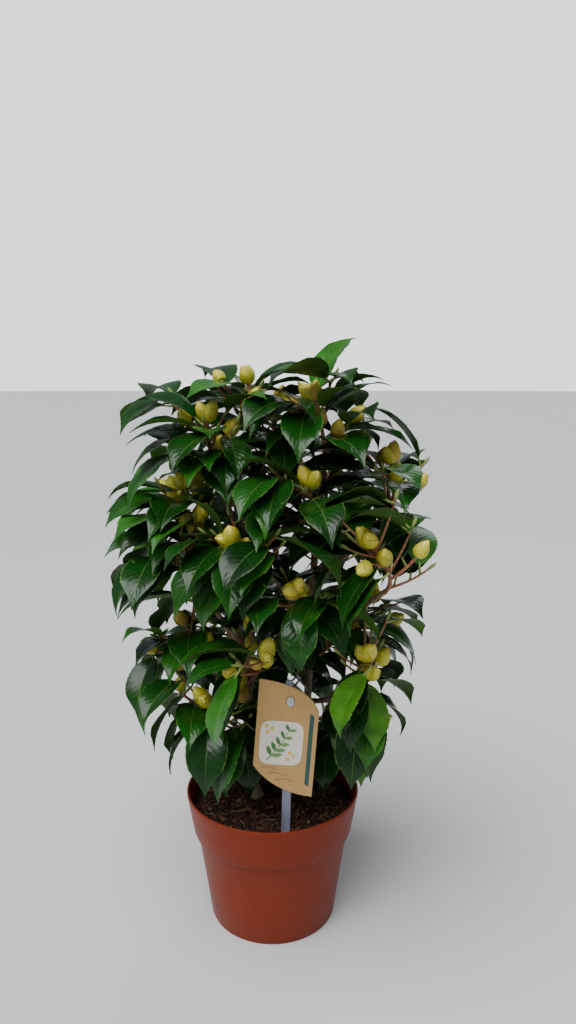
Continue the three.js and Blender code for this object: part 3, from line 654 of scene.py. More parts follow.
# A twig's tip carries a rosette of close leaves, and the rest follow one by one in a spiral.
ROSETTE_LEAVES, ROSETTE_TOP, ROSETTE_STEP = 4, 9, 5
ROSETTE_SPREAD, ROSETTE_LENGTH_SHARE, LOWER_SPREAD = (50, 66), 0.94, 68
INTERNODE, SPIRAL, SPIRAL_DRIFT = 17, 144, 16
TURNS_TRIED = (0, 24, -24, 48, -48, 72, -72, 96, -96)
LEAF_SAMPLES, WIDE_HALF = (0.16, 0.26, 0.38, 0.5, 0.64, 0.78, 0.9, 1), 9
BUD_LENGTH, BUD_SINK, BUD_LEANS, BUD_GAP_SHARE = (17, 22), 1.2, (0.5, 0.15), 0.231
VIEWED_FROM, BACK_FROM, VIEW_TO_BUDS, VIEW_GAP = (0, 700, 540), 30, (16, 28, 40, 52), 11


class Leaf:
    """A straight stalk, then a blade along an arc that bends to the ground."""

    def __init__(self, root, away, length, roll, lift):
        hang = (LIFTED_ABOVE - root[2]) / (LIFTED_ABOVE - HANGING_BELOW)
        hang = min(1, max(0, hang))
        flat = np.array([away[0], away[1], 0.0])
        self.flat = unit(flat) if np.linalg.norm(flat) >= 0.02 else np.array([1.0, 0, 0])
        rise = LEAF_RISE_SHARE * math.asin(away[2]) + lift - math.radians(HANGING_DROP) * hang
        self.rise = max(math.radians(-STEEPEST_FALL), rise)
        bend = math.radians(LEAF_BEND[0] + (LEAF_BEND[1] - LEAF_BEND[0]) * hang)
        self.bend = max(0.1, min(bend, self.rise + math.radians(STEEPEST_TIP)))
        self.root, self.length, self.roll = root, length, roll

    def place(self, share):
        """Where the leaf is at a share of its blade, its breadth and its upper side."""
        angle = self.rise - self.bend * share
        scale = self.length / self.bend
        out = PETIOLE * math.cos(self.rise) + scale * (math.sin(self.rise) - math.sin(angle))
        up = PETIOLE * math.sin(self.rise) + scale * (math.cos(angle) - math.cos(self.rise))
        level, normal = np.cross(UP, self.flat), UP * math.cos(angle) - self.flat * math.sin(angle)
        breadth = level * math.cos(self.roll) + normal * math.sin(self.roll)
        upper = normal * math.cos(self.roll) - level * math.sin(self.roll)
        return self.root + self.flat * out + UP * up, breadth, upper

    def half_width(self, share):
        swell = math.sin(math.pi * share**0.86) ** 0.8
        return self.length * LEAF_WIDTH_SHARE * swell / 2

    def drawn_out(self, share):
        """The half width with the narrow point that the tip is drawn out to."""
        tip = 1 - 0.6 * min(1, max(0, (share - 0.66) / 0.24)) ** 1.2
        return max(0.35, self.half_width(min(share, 0.999)) * tip)

    def samples(self):
        """Places over the blade, to test its room."""
        points = []
        for share in LEAF_SAMPLES:
            point, breadth, _ = self.place(share)
            half = self.half_width(share) if share < 1 else 0
            for side in (-1, -0.5, 0, 0.5, 1) if half > WIDE_HALF else (-1, 0, 1):
                points.append(point + breadth * side * half)
        return points

    def stalk(self):
        """A place on the stalk and one where the blade begins, to test their room."""
        neck = self.place(0)[0]
        return [self.root + (neck - self.root) * 0.6, self.place(0.06)[0]]


def away_from(axis, spread, turn):
    """A direction that leaves an axis by so many degrees of spread, at a turn round it."""
    u, v = square_to(axis)
    lean = math.sin(math.radians(spread))
    return axis * math.cos(math.radians(spread)) + (u * math.cos(turn) + v * math.sin(turn)) * lean


# Rows along a blade, the columns across it within its pale margin, and the teeth of its margin
# between two rows.
BLADE_ROWS = (0.01, 0.1, 0.24, 0.4, 0.56, 0.7, 0.82, 0.92, 1.0)
BLADE_COLUMNS = (-0.972, -0.5, -0.022, 0.022, 0.5, 0.972)
EDGE_STEPS = 4
TEETH = 0.016


def blade(leaf, fold, wave, phase, curl):
    """The blade's places: its rows, each with a keel below, and then its two toothed edges."""
    halves, places, ends = [], [], []
    for share in BLADE_ROWS:
        point, breadth, upper = leaf.place(share)
        half = leaf.drawn_out(share)
        drop = 0.7 * curl * max(0, share - 0.7) ** 2 * leaf.length
        row = []
        for x in (*BLADE_COLUMNS, -1, 1):
            side = abs(x)
            lift = half * fold * (side - 0.32 * side**3) - 0.25 * (side < 0.1) - drop
            swing = wave * half / 17 * side**1.5
            lift += swing * math.sin(math.tau * (1.7 * share + phase) + (x > 0) * 1.9)
            row.append(point + breadth * half * x + upper * lift)
        halves.append(half)
        ends.append((row[-2], row[-1], breadth))
        places += [*row[:-2], point - upper * (0.75 - 0.3 * share + drop)]
    for end, side in ((0, -1), (1, 1)):
        for k in range((len(BLADE_ROWS) - 1) * EDGE_STEPS + 1):
            row = min(k // EDGE_STEPS, len(BLADE_ROWS) - 2)
            between = k / EDGE_STEPS - row
            here, there = ends[row], ends[row + 1]
            share = np.interp(row + between, range(len(BLADE_ROWS)), BLADE_ROWS)
            half = leaf.drawn_out(share) * (1 + TEETH * (k % 2 * 2 - 1))
            beyond = half - np.interp(row + between, range(len(halves)), halves)
            places.append(here[end] * (1 - between) + there[end] * between + here[2] * beyond * side)
    return places


def blade_faces():
    """Faces with their tones: 0 the upper side, 1 the midrib and margin, 2 the underside."""
    across = len(BLADE_COLUMNS)
    rows, wide = len(BLADE_ROWS), across + 1
    left = rows * wide
    right = left + (rows - 1) * EDGE_STEPS + 1
    made, tones = [], []
    for step in range(rows - 1):
        here, there = step * wide, (step + 1) * wide
        rim = range(step * EDGE_STEPS, (step + 1) * EDGE_STEPS + 1)
        lefts, rights = [left + k for k in rim], [right + k for k in rim]
        for k in range(across - 1):
            made.append((here + k + 1, here + k, there + k, there + k + 1))
            tones.append(1 if k == 2 and step < rows - 2 else 0)
        made.append((*lefts, there, here))
        made.append((here + across - 1, there + across - 1, *rights[::-1]))
        made.append((here + across, there + across, *lefts[::-1]))
        made.append((there + across, here + across, *rights))
        tones += [1, 1, 2, 2]
    tip = (rows - 1) * wide
    made.append((left, *range(across), right, across))
    made.append((right - 1, tip + across, rights[-1], *range(tip + across - 1, tip - 1, -1)))
    return made, tones + [2, 0]


def blade_map():
    """For each of the blade's places, how far across it is and how far along, from 0 to 1."""
    spots = [(0.5 + 0.5 * x, share) for share in BLADE_ROWS for x in (*BLADE_COLUMNS, 0)]
    steps = (len(BLADE_ROWS) - 1) * EDGE_STEPS
    rim = np.interp(np.arange(steps + 1) / EDGE_STEPS, range(len(BLADE_ROWS)), BLADE_ROWS)
    return spots + [(0, share) for share in rim] + [(1, share) for share in rim]


BLADE_FACES, BLADE_TONES = blade_faces()
BLADE_MAP = blade_map()


# Two blades with their middles further apart than this can't touch.
TOUCHING_WITHIN = 85
BLADE_FOLD, BLADE_WAVE, TIP_CURL = (0.14, 0.5), (0.4, 1.7), (0.2, 1.3)


def clashes(places, tree):
    """How many faces of the leaves and buds set so far these places touch."""
    centre = sum(places) / len(places)
    near = [other for middle, other in blades if np.linalg.norm(middle - centre) < TOUCHING_WITHIN]
    return sum(len(tree.overlap(other)) for other in near)


def lay_blade(leaf, forced):
    """Gives a leaf its fold and waves, so that its blade passes clear of the others' blades."""
    best = None
    for attempt in range(6 if forced else 3):
        fold, wave = chance.uniform(*BLADE_FOLD), chance.uniform(*BLADE_WAVE)
        places = blade(leaf, fold, wave, chance.random(), chance.uniform(*TIP_CURL))
        tree = BVHTree.FromPolygons([tuple(place) for place in places], BLADE_FACES)
        count = clashes(places, tree)
        if best is None or count < best[0]:
            best = (count, places, tree)
        if count == 0:
            break
    if best[0] and not forced:
        return False
    blades.append((sum(best[1]) / len(best[1]), best[2]))
    leaf.blade = best[1]
    leaves.append(leaf)
    return True


def set_leaf(shoot, leaf, ease=1.0):
    """Sets a leaf on a shoot if it has room there, at full gaps as the source does."""
    if not room.free(leaf.stalk(), shoot["name"], 0, ease):
        return False
    if not room.free(leaf.samples(), shoot["name"], 1, ease):
        return False
    if not lay_blade(leaf, ease == 1):
        return False
    room.take(shoot["name"], leaf.samples(), GAP_TO_LEAVES, OWN_GAP)
    room.take(shoot["name"], leaf.stalk(), GAP_TO_LIMBS)
    return True


# Low in the crown the added leaves keep wider gaps, so that the stems show there.
LOW_CROWN, LOW_EASE = 330, 0.15


def try_turns(shoot, twig, at, turn, spread, size, turns, ease=1.0):
    """Tries a leaf at one turn round the twig after another until it has room."""
    root, axis = twig.point(at), twig.run(at)
    if ease < 1 and root[2] < LOW_CROWN:
        ease += LOW_EASE
    for extra in turns:
        away = away_from(axis, spread, math.radians(turn + extra))
        if set_leaf(shoot, Leaf(root, away, *size), ease):
            return True
    return False


def open_view(cluster):
    """Keeps the space before a cluster of buds open, as seen from its own side of the crown."""
    x, y, z = VIEWED_FROM
    viewer = np.array([x, y if cluster[1] > BACK_FROM else -y, z])
    ahead = unit(viewer - cluster)
    for far in VIEW_TO_BUDS:
        room.take("view", [cluster + ahead * far], VIEW_GAP, firm=True)


leaves, blades, buds = [], [], []
chance = np.random.default_rng(5)
for shoot in shoots:
    draw, ranked = shoot["draw"], []
    for order, (twig, _) in enumerate(shoot["twigs"]):
        rosette = ROSETTE_LEAVES if order == 0 else ROSETTE_LEAVES - 1
        rosette_foot = ROSETTE_TOP + ROSETTE_STEP * (rosette - 1)
        nodes = math.floor((twig.length - rosette_foot) / INTERNODE)
        turn = 360 * draw()
        for k in range(rosette + nodes):
            back, spread = rosette_foot + (k - rosette + 1) * INTERNODE, LOWER_SPREAD
            length = LEAF_LENGTH[0] + (LEAF_LENGTH[1] - LEAF_LENGTH[0]) * draw()
            if k < rosette:
                back = ROSETTE_TOP + ROSETTE_STEP * k
                spread = ROSETTE_SPREAD[0] + (ROSETTE_SPREAD[1] - ROSETTE_SPREAD[0]) * k / rosette
                length *= ROSETTE_LENGTH_SHARE
            roll = math.radians(LEAF_ROLL) * (2 * draw() - 1)
            lift = math.radians(LEAF_LIFT) * (2 * draw() - 1)
            candidate = twig, 1 - back / twig.length, turn, spread, (length, roll, lift)
            ranked.append((k + order * 2, candidate))
            turn += SPIRAL + SPIRAL_DRIFT * (draw() - 0.5)
        axis = twig.run(1)
        u, v = square_to(axis)
        bud_turn = math.tau * draw()
        lean = BUD_LEANS[min(order, 1)]
        for k in range(2 if order == 0 else math.floor(draw() + 0.5)):
            aside = u * math.cos(bud_turn + math.pi * k) + v * math.sin(bud_turn + math.pi * k)
            away = unit(axis + aside * lean)
            size = BUD_LENGTH[0] + (BUD_LENGTH[1] - BUD_LENGTH[0]) * draw()
            buds.append((twig.point(1), away, size))
            middle = [twig.point(1) + away * (size * share - BUD_SINK) for share in (0.35, 0.8)]
            room.take(shoot["name"], middle, GAP_TO_LEAVES + size * BUD_GAP_SHARE, OWN_BUD_GAP)
        if order == 0:
            open_view(twig.point(1) + axis * 8.5)
    shoot["candidates"] = [candidate for _, candidate in sorted(ranked, key=lambda pair: pair[0])]

# One upright leaf is the crown's highest tip, and is set before all the others.
topmost = next(shoot for shoot in shoots if shoot["name"] == "shoot_top_right")
upright = topmost["twigs"][0][0].point(0.96)
set_leaf(topmost, Leaf(upright, np.array([0.24, 0.2, 0.95]), 72, 0, math.radians(18)))
for k in range(max(len(shoot["candidates"]) for shoot in shoots)):
    for shoot in shoots:
        if k < len(shoot["candidates"]):
            try_turns(shoot, *shoot["candidates"][k], TURNS_TRIED)


def bud_places(root, away, size):
    """A plain outline of a bud, to test what it touches."""
    u, v = square_to(away)
    rings = ((0.08, 0.2), (0.35, 0.35), (0.7, 0.26), (0.98, 0.06))
    return [
        root + away * (height * size - BUD_SINK) + (u * math.cos(k) + v * math.sin(k)) * wide * size
        for height, wide in rings for k in np.arange(6) * math.tau / 6
    ]


BUD_FACES = [*ring_faces(0, 6), *ring_faces(6, 6), *ring_faces(12, 6)]
BUD_FACES += [tuple(range(5, -1, -1)), tuple(range(18, 24))]


BUD_EASE = 0.5


def set_bud(shoot, root, away, size, forced=False):
    """Sets a bud where it touches no blade and no other bud."""
    places = bud_places(root, away, size)
    tree = BVHTree.FromPolygons([tuple(place) for place in places], BUD_FACES)
    if not forced:
        if clashes(places, tree) or not room.free(places[8:], shoot["name"], 0.3, BUD_EASE):
            return False
    blades.append((sum(places) / len(places), tree))
    if not forced:
        buds.append((root, away, size))
        room.take(shoot["name"], places[6:], 4, OWN_GAP)
    return True


# More buds crowd round the tips of the main twigs on short stalks of their own, and single ones
# sit where leaves join.
BUDS_TRIED, TRIED_AT_TIP, AT_TIP, BELOW_TIP = 24, 18, (0.5, 6), (16, 50)
ADDED_BUD_SPREAD, ADDED_BUD_LENGTH, BUD_STALK_LENGTH = (25, 62), (15, 21), (2.5, 5)
bud_stalks = []
for root, away, size in list(buds):
    set_bud(None, root, away, size, forced=True)
for shoot in shoots:
    for order, (twig, _) in enumerate(shoot["twigs"]):
        wanted = int(chance.integers(2, 4)) if order == 0 else 1
        for attempt in range(BUDS_TRIED):
            back = chance.uniform(*(AT_TIP if attempt < TRIED_AT_TIP else BELOW_TIP))
            if wanted == 0 or back > twig.length * 0.7:
                continue
            at = 1 - back / twig.length
            spread = chance.uniform(*ADDED_BUD_SPREAD)
            away = away_from(twig.run(at), spread, math.tau * chance.random())
            away = unit(away + UP * 0.35)
            root = twig.point(at) + away * chance.uniform(*BUD_STALK_LENGTH)
            if set_bud(shoot, root, away, chance.uniform(*ADDED_BUD_LENGTH)):
                bud_stalks.append(([twig.point(at), root + away * 0.8], (1.2, 1.5)))
                wanted -= 1


# Finer twigs with leaves of their own, then more leaves up every twig, wherever there is room.
WIDE_TURNS = range(0, 360, 40)
FINE_EASE, FINE_TWIG_EASE = 0.6, 0.7
FINE_TWIG_PLACES, FINE_TWIG_RADII, ROUNDS = (0.1, 0.26, 0.42, 0.58, 0.74, 0.88), (1.3, 0.9), 3
FINE_TWIG_LENGTH, FINE_TWIG_LEAVES, FINE_TOP, FINE_SPREAD = (22, 44), 4, 4, 52
FINE_LEAF_LENGTH, ADDED_LEAF_LENGTH, ADDED_ROLL = (52, 78), (56, 80), 18
ADDED_SPACING, ADDED_SPREAD = 11, 64


def habit(shortest, longest):
    """A leaf's length, roll and lift, by chance."""
    length = chance.uniform(shortest, longest)
    roll, lift = chance.uniform(-ADDED_ROLL, ADDED_ROLL), chance.uniform(-LEAF_LIFT, LEAF_LIFT)
    return length, math.radians(roll), math.radians(lift)


for shoot in shoots * ROUNDS:
    for place in FINE_TWIG_PLACES:
        main = shoot["twigs"][0][0]
        long = chance.uniform(*FINE_TWIG_LENGTH)
        twig = side_twig(main, place, long, math.tau * chance.random())
        if not room.free(along(twig)[1:], shoot["name"], 0, FINE_TWIG_EASE):
            continue
        turn, before = 360 * chance.random(), len(leaves)
        for k in range(FINE_TWIG_LEAVES):
            at = 1 - (FINE_TOP + ROSETTE_STEP * k) / twig.length
            around, spread, size = turn + SPIRAL * k, FINE_SPREAD + 5 * k, habit(*FINE_LEAF_LENGTH)
            try_turns(shoot, twig, at, around, spread, size, WIDE_TURNS, FINE_EASE)
        if len(leaves) > before:
            shoot["twigs"].append((twig, FINE_TWIG_RADII))
            room.take(shoot["name"], along(twig), GAP_TO_LIMBS)
for shoot in shoots:
    for twig, _ in list(shoot["twigs"]):
        for at in np.arange(0.12, 0.97, ADDED_SPACING / twig.length):
            size, around = habit(*ADDED_LEAF_LENGTH), 360 * chance.random()
            try_turns(shoot, twig, at, around, ADDED_SPREAD, size, WIDE_TURNS, FINE_EASE)

twig_runs = [
    ringed(twig, radii, TWIG_RINGS) for shoot in shoots for twig, radii in shoot["twigs"]
]
twigs = grow_wood("twigs", twig_runs, 8)
young_bark, shader, place = new_finish("red-brown young bark", (0.24, 0.08, 0.035), 0.5)
streaks = place.stretched(700.0, 700.0, 200.0).noise(1.0, 4.0)
colour = streaks.between(0.35, 0.65).blend((0.2, 0.062, 0.028), (0.36, 0.15, 0.065))
greener = place.noise(28.0).between(0.5, 0.7) * 0.6
place.feed(shader["Base Color"], greener.blend(colour, (0.24, 0.22, 0.07)))
place.feed(shader["Normal"], streaks.bump(0.2, 0.0003))
twigs.data.materials.append(young_bark)
shade_smooth(twigs, 60)
settle(twigs, "bark")

stalk_runs = []
for leaf in leaves:
    neck, _, upper = leaf.place(0)
    middle = (leaf.root + neck) / 2 - upper * 0.5
    inner = leaf.place(0.05)[0] - upper * 0.5
    stalk_runs.append(([leaf.root, middle, neck - upper * 0.3, inner], (1.3, 1.0, 1.0, 0.7)))
for shoot in shoots:
    for twig, _ in shoot["twigs"]:
        tip, run = twig.point(1), twig.run(1)
        if all(np.linalg.norm(root - tip) > 4 for root, _, _ in buds):
            slim_bud = [tip + run * far for far in (-1, 1.5, 4, 6.5, 8.5)]
            stalk_runs.append((slim_bud, (1.0, 1.5, 1.7, 1.1, 0.2)))
stalk_runs += bud_stalks
stalks = grow_wood("leaf_stalks", stalk_runs, 8)
stalk_green, shader, place = new_finish("yellow-green leaf stalk", (0.2, 0.26, 0.06), 0.45)
stalks.data.materials.append(stalk_green)
shade_smooth(stalks, 60)
settle(stalks, "foliage")

LEAF_TONES = {
    "deep green": (0.0026, 0.0225, 0.0026),
    "dark green": (0.0040, 0.036, 0.0032),
    "mid green": (0.0072, 0.060, 0.0042),
    "fresh green": (0.0165, 0.105, 0.006),
    "young yellow-green": (0.040, 0.145, 0.0080),
}
leaf_finishes = []
for name, colour in LEAF_TONES.items():
    under = tuple(0.5 * c + 0.5 * p for c, p in zip(colour, (0.066, 0.15, 0.02)))
    rim = tuple(0.7 * c + 0.3 * p for c, p in zip(colour, (0.17, 0.29, 0.05)))
    for part, base, roughness, shine in (
        ("leaf", colour, 0.24, 0.27), ("margin", rim, 0.4, 0.2), ("underside", under, 0.5, 0.2)
    ):
        named = f"{name} {part}"
        finish, shader, place = new_finish(named, base, roughness, Specular_IOR_Level=shine)
        deep = tuple(0.76 * c for c in base)
        bright = tuple(1.24 * c for c in base)
        patches = place.noise(45.0, 3.0).between(0.35, 0.65).blend(deep, bright)
        if part == "margin":
            place.feed(shader["Base Color"], patches)
            leaf_finishes.append(finish)
            continue
        spot = place.node("ShaderNodeUVMap", {}, uv_map="blade")
        across = spot.node("ShaderNodeSeparateXYZ", {0: spot}) - 0.5
        aside = across.math("ABSOLUTE", across) * 2
        climb = spot.node("ShaderNodeSeparateXYZ", {0: spot}, output=1) * 10.5 - aside * 2.6
        pillow = climb.math("PINGPONG", climb, 0.5) * 2
        vein = 1 - pillow.between(0.04, 0.3)
        inner = 1 - aside.between(0.6, 0.95)
        light = tuple(0.8 * c + 0.2 * r for c, r in zip(base, rim))
        if part == "leaf":
            place.feed(shader["Base Color"], (vein * inner * 0.5).blend(patches, light))
            place.feed(shader["Roughness"], 0.16 + place.noise(120.0, 4.0) * 0.16)
            relief = place.noise(150.0, 2.0) + pillow.between(0.0, 0.8) * inner * 0.45
            place.feed(shader["Normal"], relief.bump(0.2, 0.0012))
        else:
            midrib = 1 - aside.between(0.03, 0.07)
            lines = midrib * 0.8 + vein * inner * 0.25
            place.feed(shader["Base Color"], lines.blend(patches, rim))
            place.feed(shader["Normal"], (vein * inner).bump(0.15, 0.0006))
        leaf_finishes.append(finish)

vertices, faces, tones = [], [], []
for leaf in leaves:
    # Painted light and shade: the higher a leaf grows, the likelier it takes one of the paler green
    # tones, and the lower, the likelier the deepest one, so the crown's top is painted paler where the
    # light falls and its low leaves darker where shade gathers.
    painted_light_share = min(1, max(0, (leaf.root[2] - 300) / 240))
    odds = np.array([0.22 - 0.1 * painted_light_share, 0.33, 0.3, 0.12 + 0.08 * painted_light_share, 0.03 + 0.02 * painted_light_share])
    shade = 3 * int(chance.choice(5, p=odds / odds.sum()))
    faces += [tuple(len(vertices) + k for k in face) for face in BLADE_FACES]
    vertices += leaf.blade
    tones += [shade + tone for tone in BLADE_TONES]
foliage = joined_piece("leaf_blades", vertices, faces, tones, leaf_finishes)
blade_spots = [BLADE_MAP[corner] for face in BLADE_FACES for corner in face]
spots = foliage.data.uv_layers.new(name="blade")
spots.data.foreach_set("uv", np.tile(np.array(blade_spots, np.float32).ravel(), len(leaves)))
shade_smooth(foliage, 50)
settle(foliage, "foliage", *SHOOTS)


# The flower buds: plump and pointed at the tips of the shoots, wrapped in a few large, tight
# scales. They are yellow-green, and some have a brown tinge where an outer scale dries.

BUD_WIDTH_SHARE = 0.66
SCALE_LAYERS = ((0.72, 0.68, 0.034), (0.97, 0.64, 0.016))
SCALE_HEIGHTS = (0.0, 0.3, 0.6, 0.84)
CORE_HEIGHTS = (0.03, 0.3, 0.75)


def bud_radius(height):
    """The half width of a bud of length 1 at a height: round below, drawn to a point."""
    return 0.5 * BUD_WIDTH_SHARE * 1.99 * (1 - height) ** 0.75 * height**0.35


def bud_point(radius, turn, height):
    return radius * math.cos(turn), radius * math.sin(turn), height


def bud_shape():
    """One bud of length 1 along +Z: a smooth core, and two layers of three scales round it."""
    points, made, tint = [], [], []
    for height in CORE_HEIGHTS:
        points += [bud_point(bud_radius(height), math.tau * k / 6, height) for k in range(6)]
    points.append((0, 0, 0.99))
    for step in range(0, 6 * len(CORE_HEIGHTS) - 6, 6):
        made += ring_faces(step, 6)
    made += [(step + 6 + k, step + 6 + (k + 1) % 6, len(points) - 1) for k in range(6)]
    made.append(tuple(range(5, -1, -1)))
    tint += [2] * len(made)
    columns = np.linspace(-1, 1, 5)
    for layer, (top, wide, lift) in enumerate(SCALE_LAYERS):
        for scale in range(3):
            middle = math.tau * (scale / 3 + 0.17 * layer)
            first = len(points)
            for share in SCALE_HEIGHTS:
                height = 0.04 + (top - 0.04) * share
                belly = 0.62 + 0.38 * math.sin(math.pi * min(1, share + 0.2))
                spread = math.tau / 3 * wide * (1 - share**2.6) ** 0.55 * belly
                for x in columns:
                    radius = bud_radius(height) + lift * (1 + 0.5 * x)
                    points.append(bud_point(radius, middle + x * spread, height))
            points.append(bud_point(bud_radius(top) + 0.6 * lift, middle, top + 0.01))
            for row in range(3):
                for k in range(4):
                    a = first + 5 * row + k
                    made.append((a, a + 1, a + 6, a + 5))
            made += [(first + 15 + k, first + 16 + k, first + 20) for k in range(4)]
            border = [first + k for k in range(5)] + [first + 9, first + 14, first + 19, first + 20]
            made.append((*border, first + 15, first + 10, first + 5)[::-1])
            tint += [layer] * 17
    return np.array(points), made, tint


shape, shape_faces, shape_tones = bud_shape()
vertices, faces, tones = [], [], []
for root, away, size in buds:
    u, v = square_to(away)
    spin = math.tau * chance.random()
    across = u * math.cos(spin) + v * math.sin(spin)
    beside = np.cross(away, across)
    first = len(vertices)
    placed = shape[:, :1] * across + shape[:, 1:2] * beside + shape[:, 2:] * away
    vertices += list(root + placed * size - away * BUD_SINK)
    faces += [tuple(first + k for k in face) for face in shape_faces]
    browned, green = chance.random() < 0.2, chance.random() < 0.35
    swap = {0: 3 if browned else 0, 1: 0 if green else 1, 2: 2}
    tones += [swap[tone] for tone in shape_tones]

bud_finishes = []
for name, colour in (
    ("green outer bud scale", (0.52, 0.49, 0.036)),
    ("yellow-green bud scale", (0.70, 0.61, 0.06)),
    ("pale inner bud scale", (0.78, 0.67, 0.115)),
    ("browned bud scale", (0.62, 0.42, 0.075)),
):
    finish, shader, place = new_finish(name, colour, 0.45, Specular_IOR_Level=0.4)
    soft = tuple(0.78 * c for c in colour)
    patches = place.noise(120.0, 3.0).between(0.3, 0.65)
    place.feed(shader["Base Color"], patches.blend(soft, colour))
    place.feed(shader["Normal"], place.noise(600.0, 3.0).bump(0.12, 0.0003))
    bud_finishes.append(finish)
bud_piece = joined_piece("flower_buds", vertices, faces, tones, bud_finishes)
shade_smooth(bud_piece, 55)
settle(bud_piece, "foliage")


# The label: a tan kraft card with a plain printed face, pushed on a stud of a grey moulded stick
# that stands in the compost. The print is ink on the card: a cream panel with a sprig and berries.

# The card's foot, the stick's foot, where it enters the compost, its top and its middle there, and
# the stud's place on the card, in millimetres.
CARD_PLACE = (9.1, -62.7, 155)
CARD_TILT = math.radians(-4.5)
STICK_FOOT, STICK_GROUND, STICK_TOP = 62, 115, 264
STICK_PLACE, STICK_SIZE = (13.1, -60), (8, 2.4)
STICK_LEAN = math.radians(1.3)
STUD_PLACE = (1.4, 90)

kraft, shader, place = new_finish("kraft card", (0.5, 0.305, 0.115), 0.75, Specular_IOR_Level=0.3)
grain = place.stretched(260.0, 260.0, 1500.0).noise(1.0, 4.0)
flecks = place.noise(900.0, 2.0).between(0.66, 0.74)
board = grain.between(0.3, 0.7).blend((0.46, 0.275, 0.1), (0.54, 0.335, 0.13))
place.feed(shader["Base Color"], (flecks * 0.4).blend(board, (0.3, 0.17, 0.08)))
place.feed(shader["Normal"], grain.bump(0.15, 0.0002))
card = bpy.data.objects["label_card"]
card.data.materials.clear()
card.data.materials.append(kraft)


def on_card(x, up, depth=0.0):
    """The place in the frame of a spot in card millimetres, some way before the card's face."""
    across = x * math.cos(CARD_TILT) - up * math.sin(CARD_TILT)
    height = x * math.sin(CARD_TILT) + up * math.cos(CARD_TILT)
    return CARD_PLACE[0] + across, CARD_PLACE[1] - depth, CARD_PLACE[2] + height


def printed(outline, level, ink):
    """Prints a thin flat film of ink on the card's face, from its outline in card millimetres."""
    first, count = len(vertices), len(outline)
    for thick in (0, FILM):
        vertices.extend(on_card(x, up, FILM * level + thick) for x, up in outline)
    top = range(first + 2 * count - 1, first + count - 1, -1)
    faces.extend([tuple(range(first, first + count)), tuple(top), *ring_faces(first, count)])
    tones.extend([ink] * (count + 2))


def round_outline(x, up, width, height, power=2.0, count=40):
    """An oval of the given size. A higher power makes it squarer, with rounded corners."""
    outline = []
    for k in range(count):
        c, s = math.cos(math.tau * k / count), math.sin(math.tau * k / count)
        outline.append((
            x + width / 2 * math.copysign(abs(c) ** (2 / power), c),
            up + height / 2 * math.copysign(abs(s) ** (2 / power), s),
        ))
    return outline


def leaf_outline(x, up, long, wide, turn):
    """A pointed leaf that is turned about its foot."""
    outline = []
    for share in [*np.linspace(0, 1, 9)[:-1], *np.linspace(1, 0, 9)[:-1]]:
        side = 1 if len(outline) < 8 else -1
        a, b = long * share, side * wide / 2 * math.sin(math.pi * share) ** 0.9
        c, s = math.cos(turn), math.sin(turn)
        outline.append((x + a * c - b * s, up + a * s + b * c))
    return outline


def line_outline(points, width):
    """A drawn line that thins to its end."""
    points = np.array(points, float)
    runs = np.gradient(points, axis=0)
    aside = np.stack([-runs[:, 1], runs[:, 0]], 1) / np.linalg.norm(runs, axis=1)[:, None]
    half = (width / 2 * np.linspace(1, 0.45, len(points)))[:, None]
    return [*map(tuple, points - aside * half), *map(tuple, (points + aside * half)[::-1])]


FILM = 0.12
INK_COLOURS = {
    "dark green ink": (0.018, 0.085, 0.065),
    "cream ink": (0.78, 0.75, 0.64),
    "leaf green ink": (0.06, 0.19, 0.05),
    "light green ink": (0.16, 0.32, 0.09),
    "yellow ink": (0.8, 0.5, 0.08),
    "brown line ink": (0.1, 0.06, 0.03),
}
DARK_GREEN, CREAM, LEAF_GREEN, LIGHT_GREEN, YELLOW, BROWN = range(len(INK_COLOURS))
vertices, faces, tones = [], [], []
printed([(20, 12), (24, 9.5), (24, 78), (20, 80)], 0, DARK_GREEN)
printed(round_outline(-4, 50, 39, 42, 5.0, 56), 0, CREAM)
climbs = np.linspace(0, 1, 12)
sprig = [(-16 + 20 * t, 33 + 33 * t - 3 * math.sin(math.pi * t)) for t in climbs]
printed(line_outline(sprig, 1.0), 1, LEAF_GREEN)
for k, (x, up) in enumerate(sprig[2:11:2]):
    for side, ink in ((-1, LIGHT_GREEN), (1, LEAF_GREEN)):
        turn = math.radians(61 + side * 52)
        printed(leaf_outline(x, up, 10.5 - 0.8 * k, 4.2 - 0.3 * k, turn), 2, ink)
for x, up in ((3, 35), (8, 38), (4.5, 41), (-17, 60), (-13, 64), (-18, 66)):
    printed(round_outline(x, up, 3.4, 3.4, 2.0, 20), 2, YELLOW)
for (x, up), (end_x, end_up) in (((-21, 25), (-6, 23.5)), ((-15, 19.5), (3, 18.5)), ((-7, 14), (11, 13))):
    line = [
        (x + (end_x - x) * t, up + (end_up - up) * t + 2 * math.sin(3 * t))
        for t in np.linspace(0, 1, 8)
    ]
    printed(line_outline(line, 0.45), 0, BROWN)
inks = []
for name, colour in INK_COLOURS.items():
    finish, shader, place = new_finish(name, colour, 0.6)
    shade = tuple(0.88 * c for c in colour)
    place.feed(shader["Base Color"], place.noise(500.0, 3.0).blend(shade, colour))
    inks.append(finish)
label_print = joined_piece("label_print", vertices, faces, tones, inks)
turn_outwards(label_print)
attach(label_print, "root")

# The stick is moulded with a sunk groove down its face, rounded edges and a paler stud that goes
# through the card. It leans a little, narrows at its top and is pointed at its foot.
STICK_POINT, STICK_NECK = 14, 6


def on_stick(up):
    """The middle of the stick at a height, in metres."""
    far = up - STICK_GROUND
    aside, climb = far * math.sin(STICK_LEAN), far * math.cos(STICK_LEAN)
    return Vector((STICK_PLACE[0] + aside, STICK_PLACE[1], STICK_GROUND + climb)) / 1000


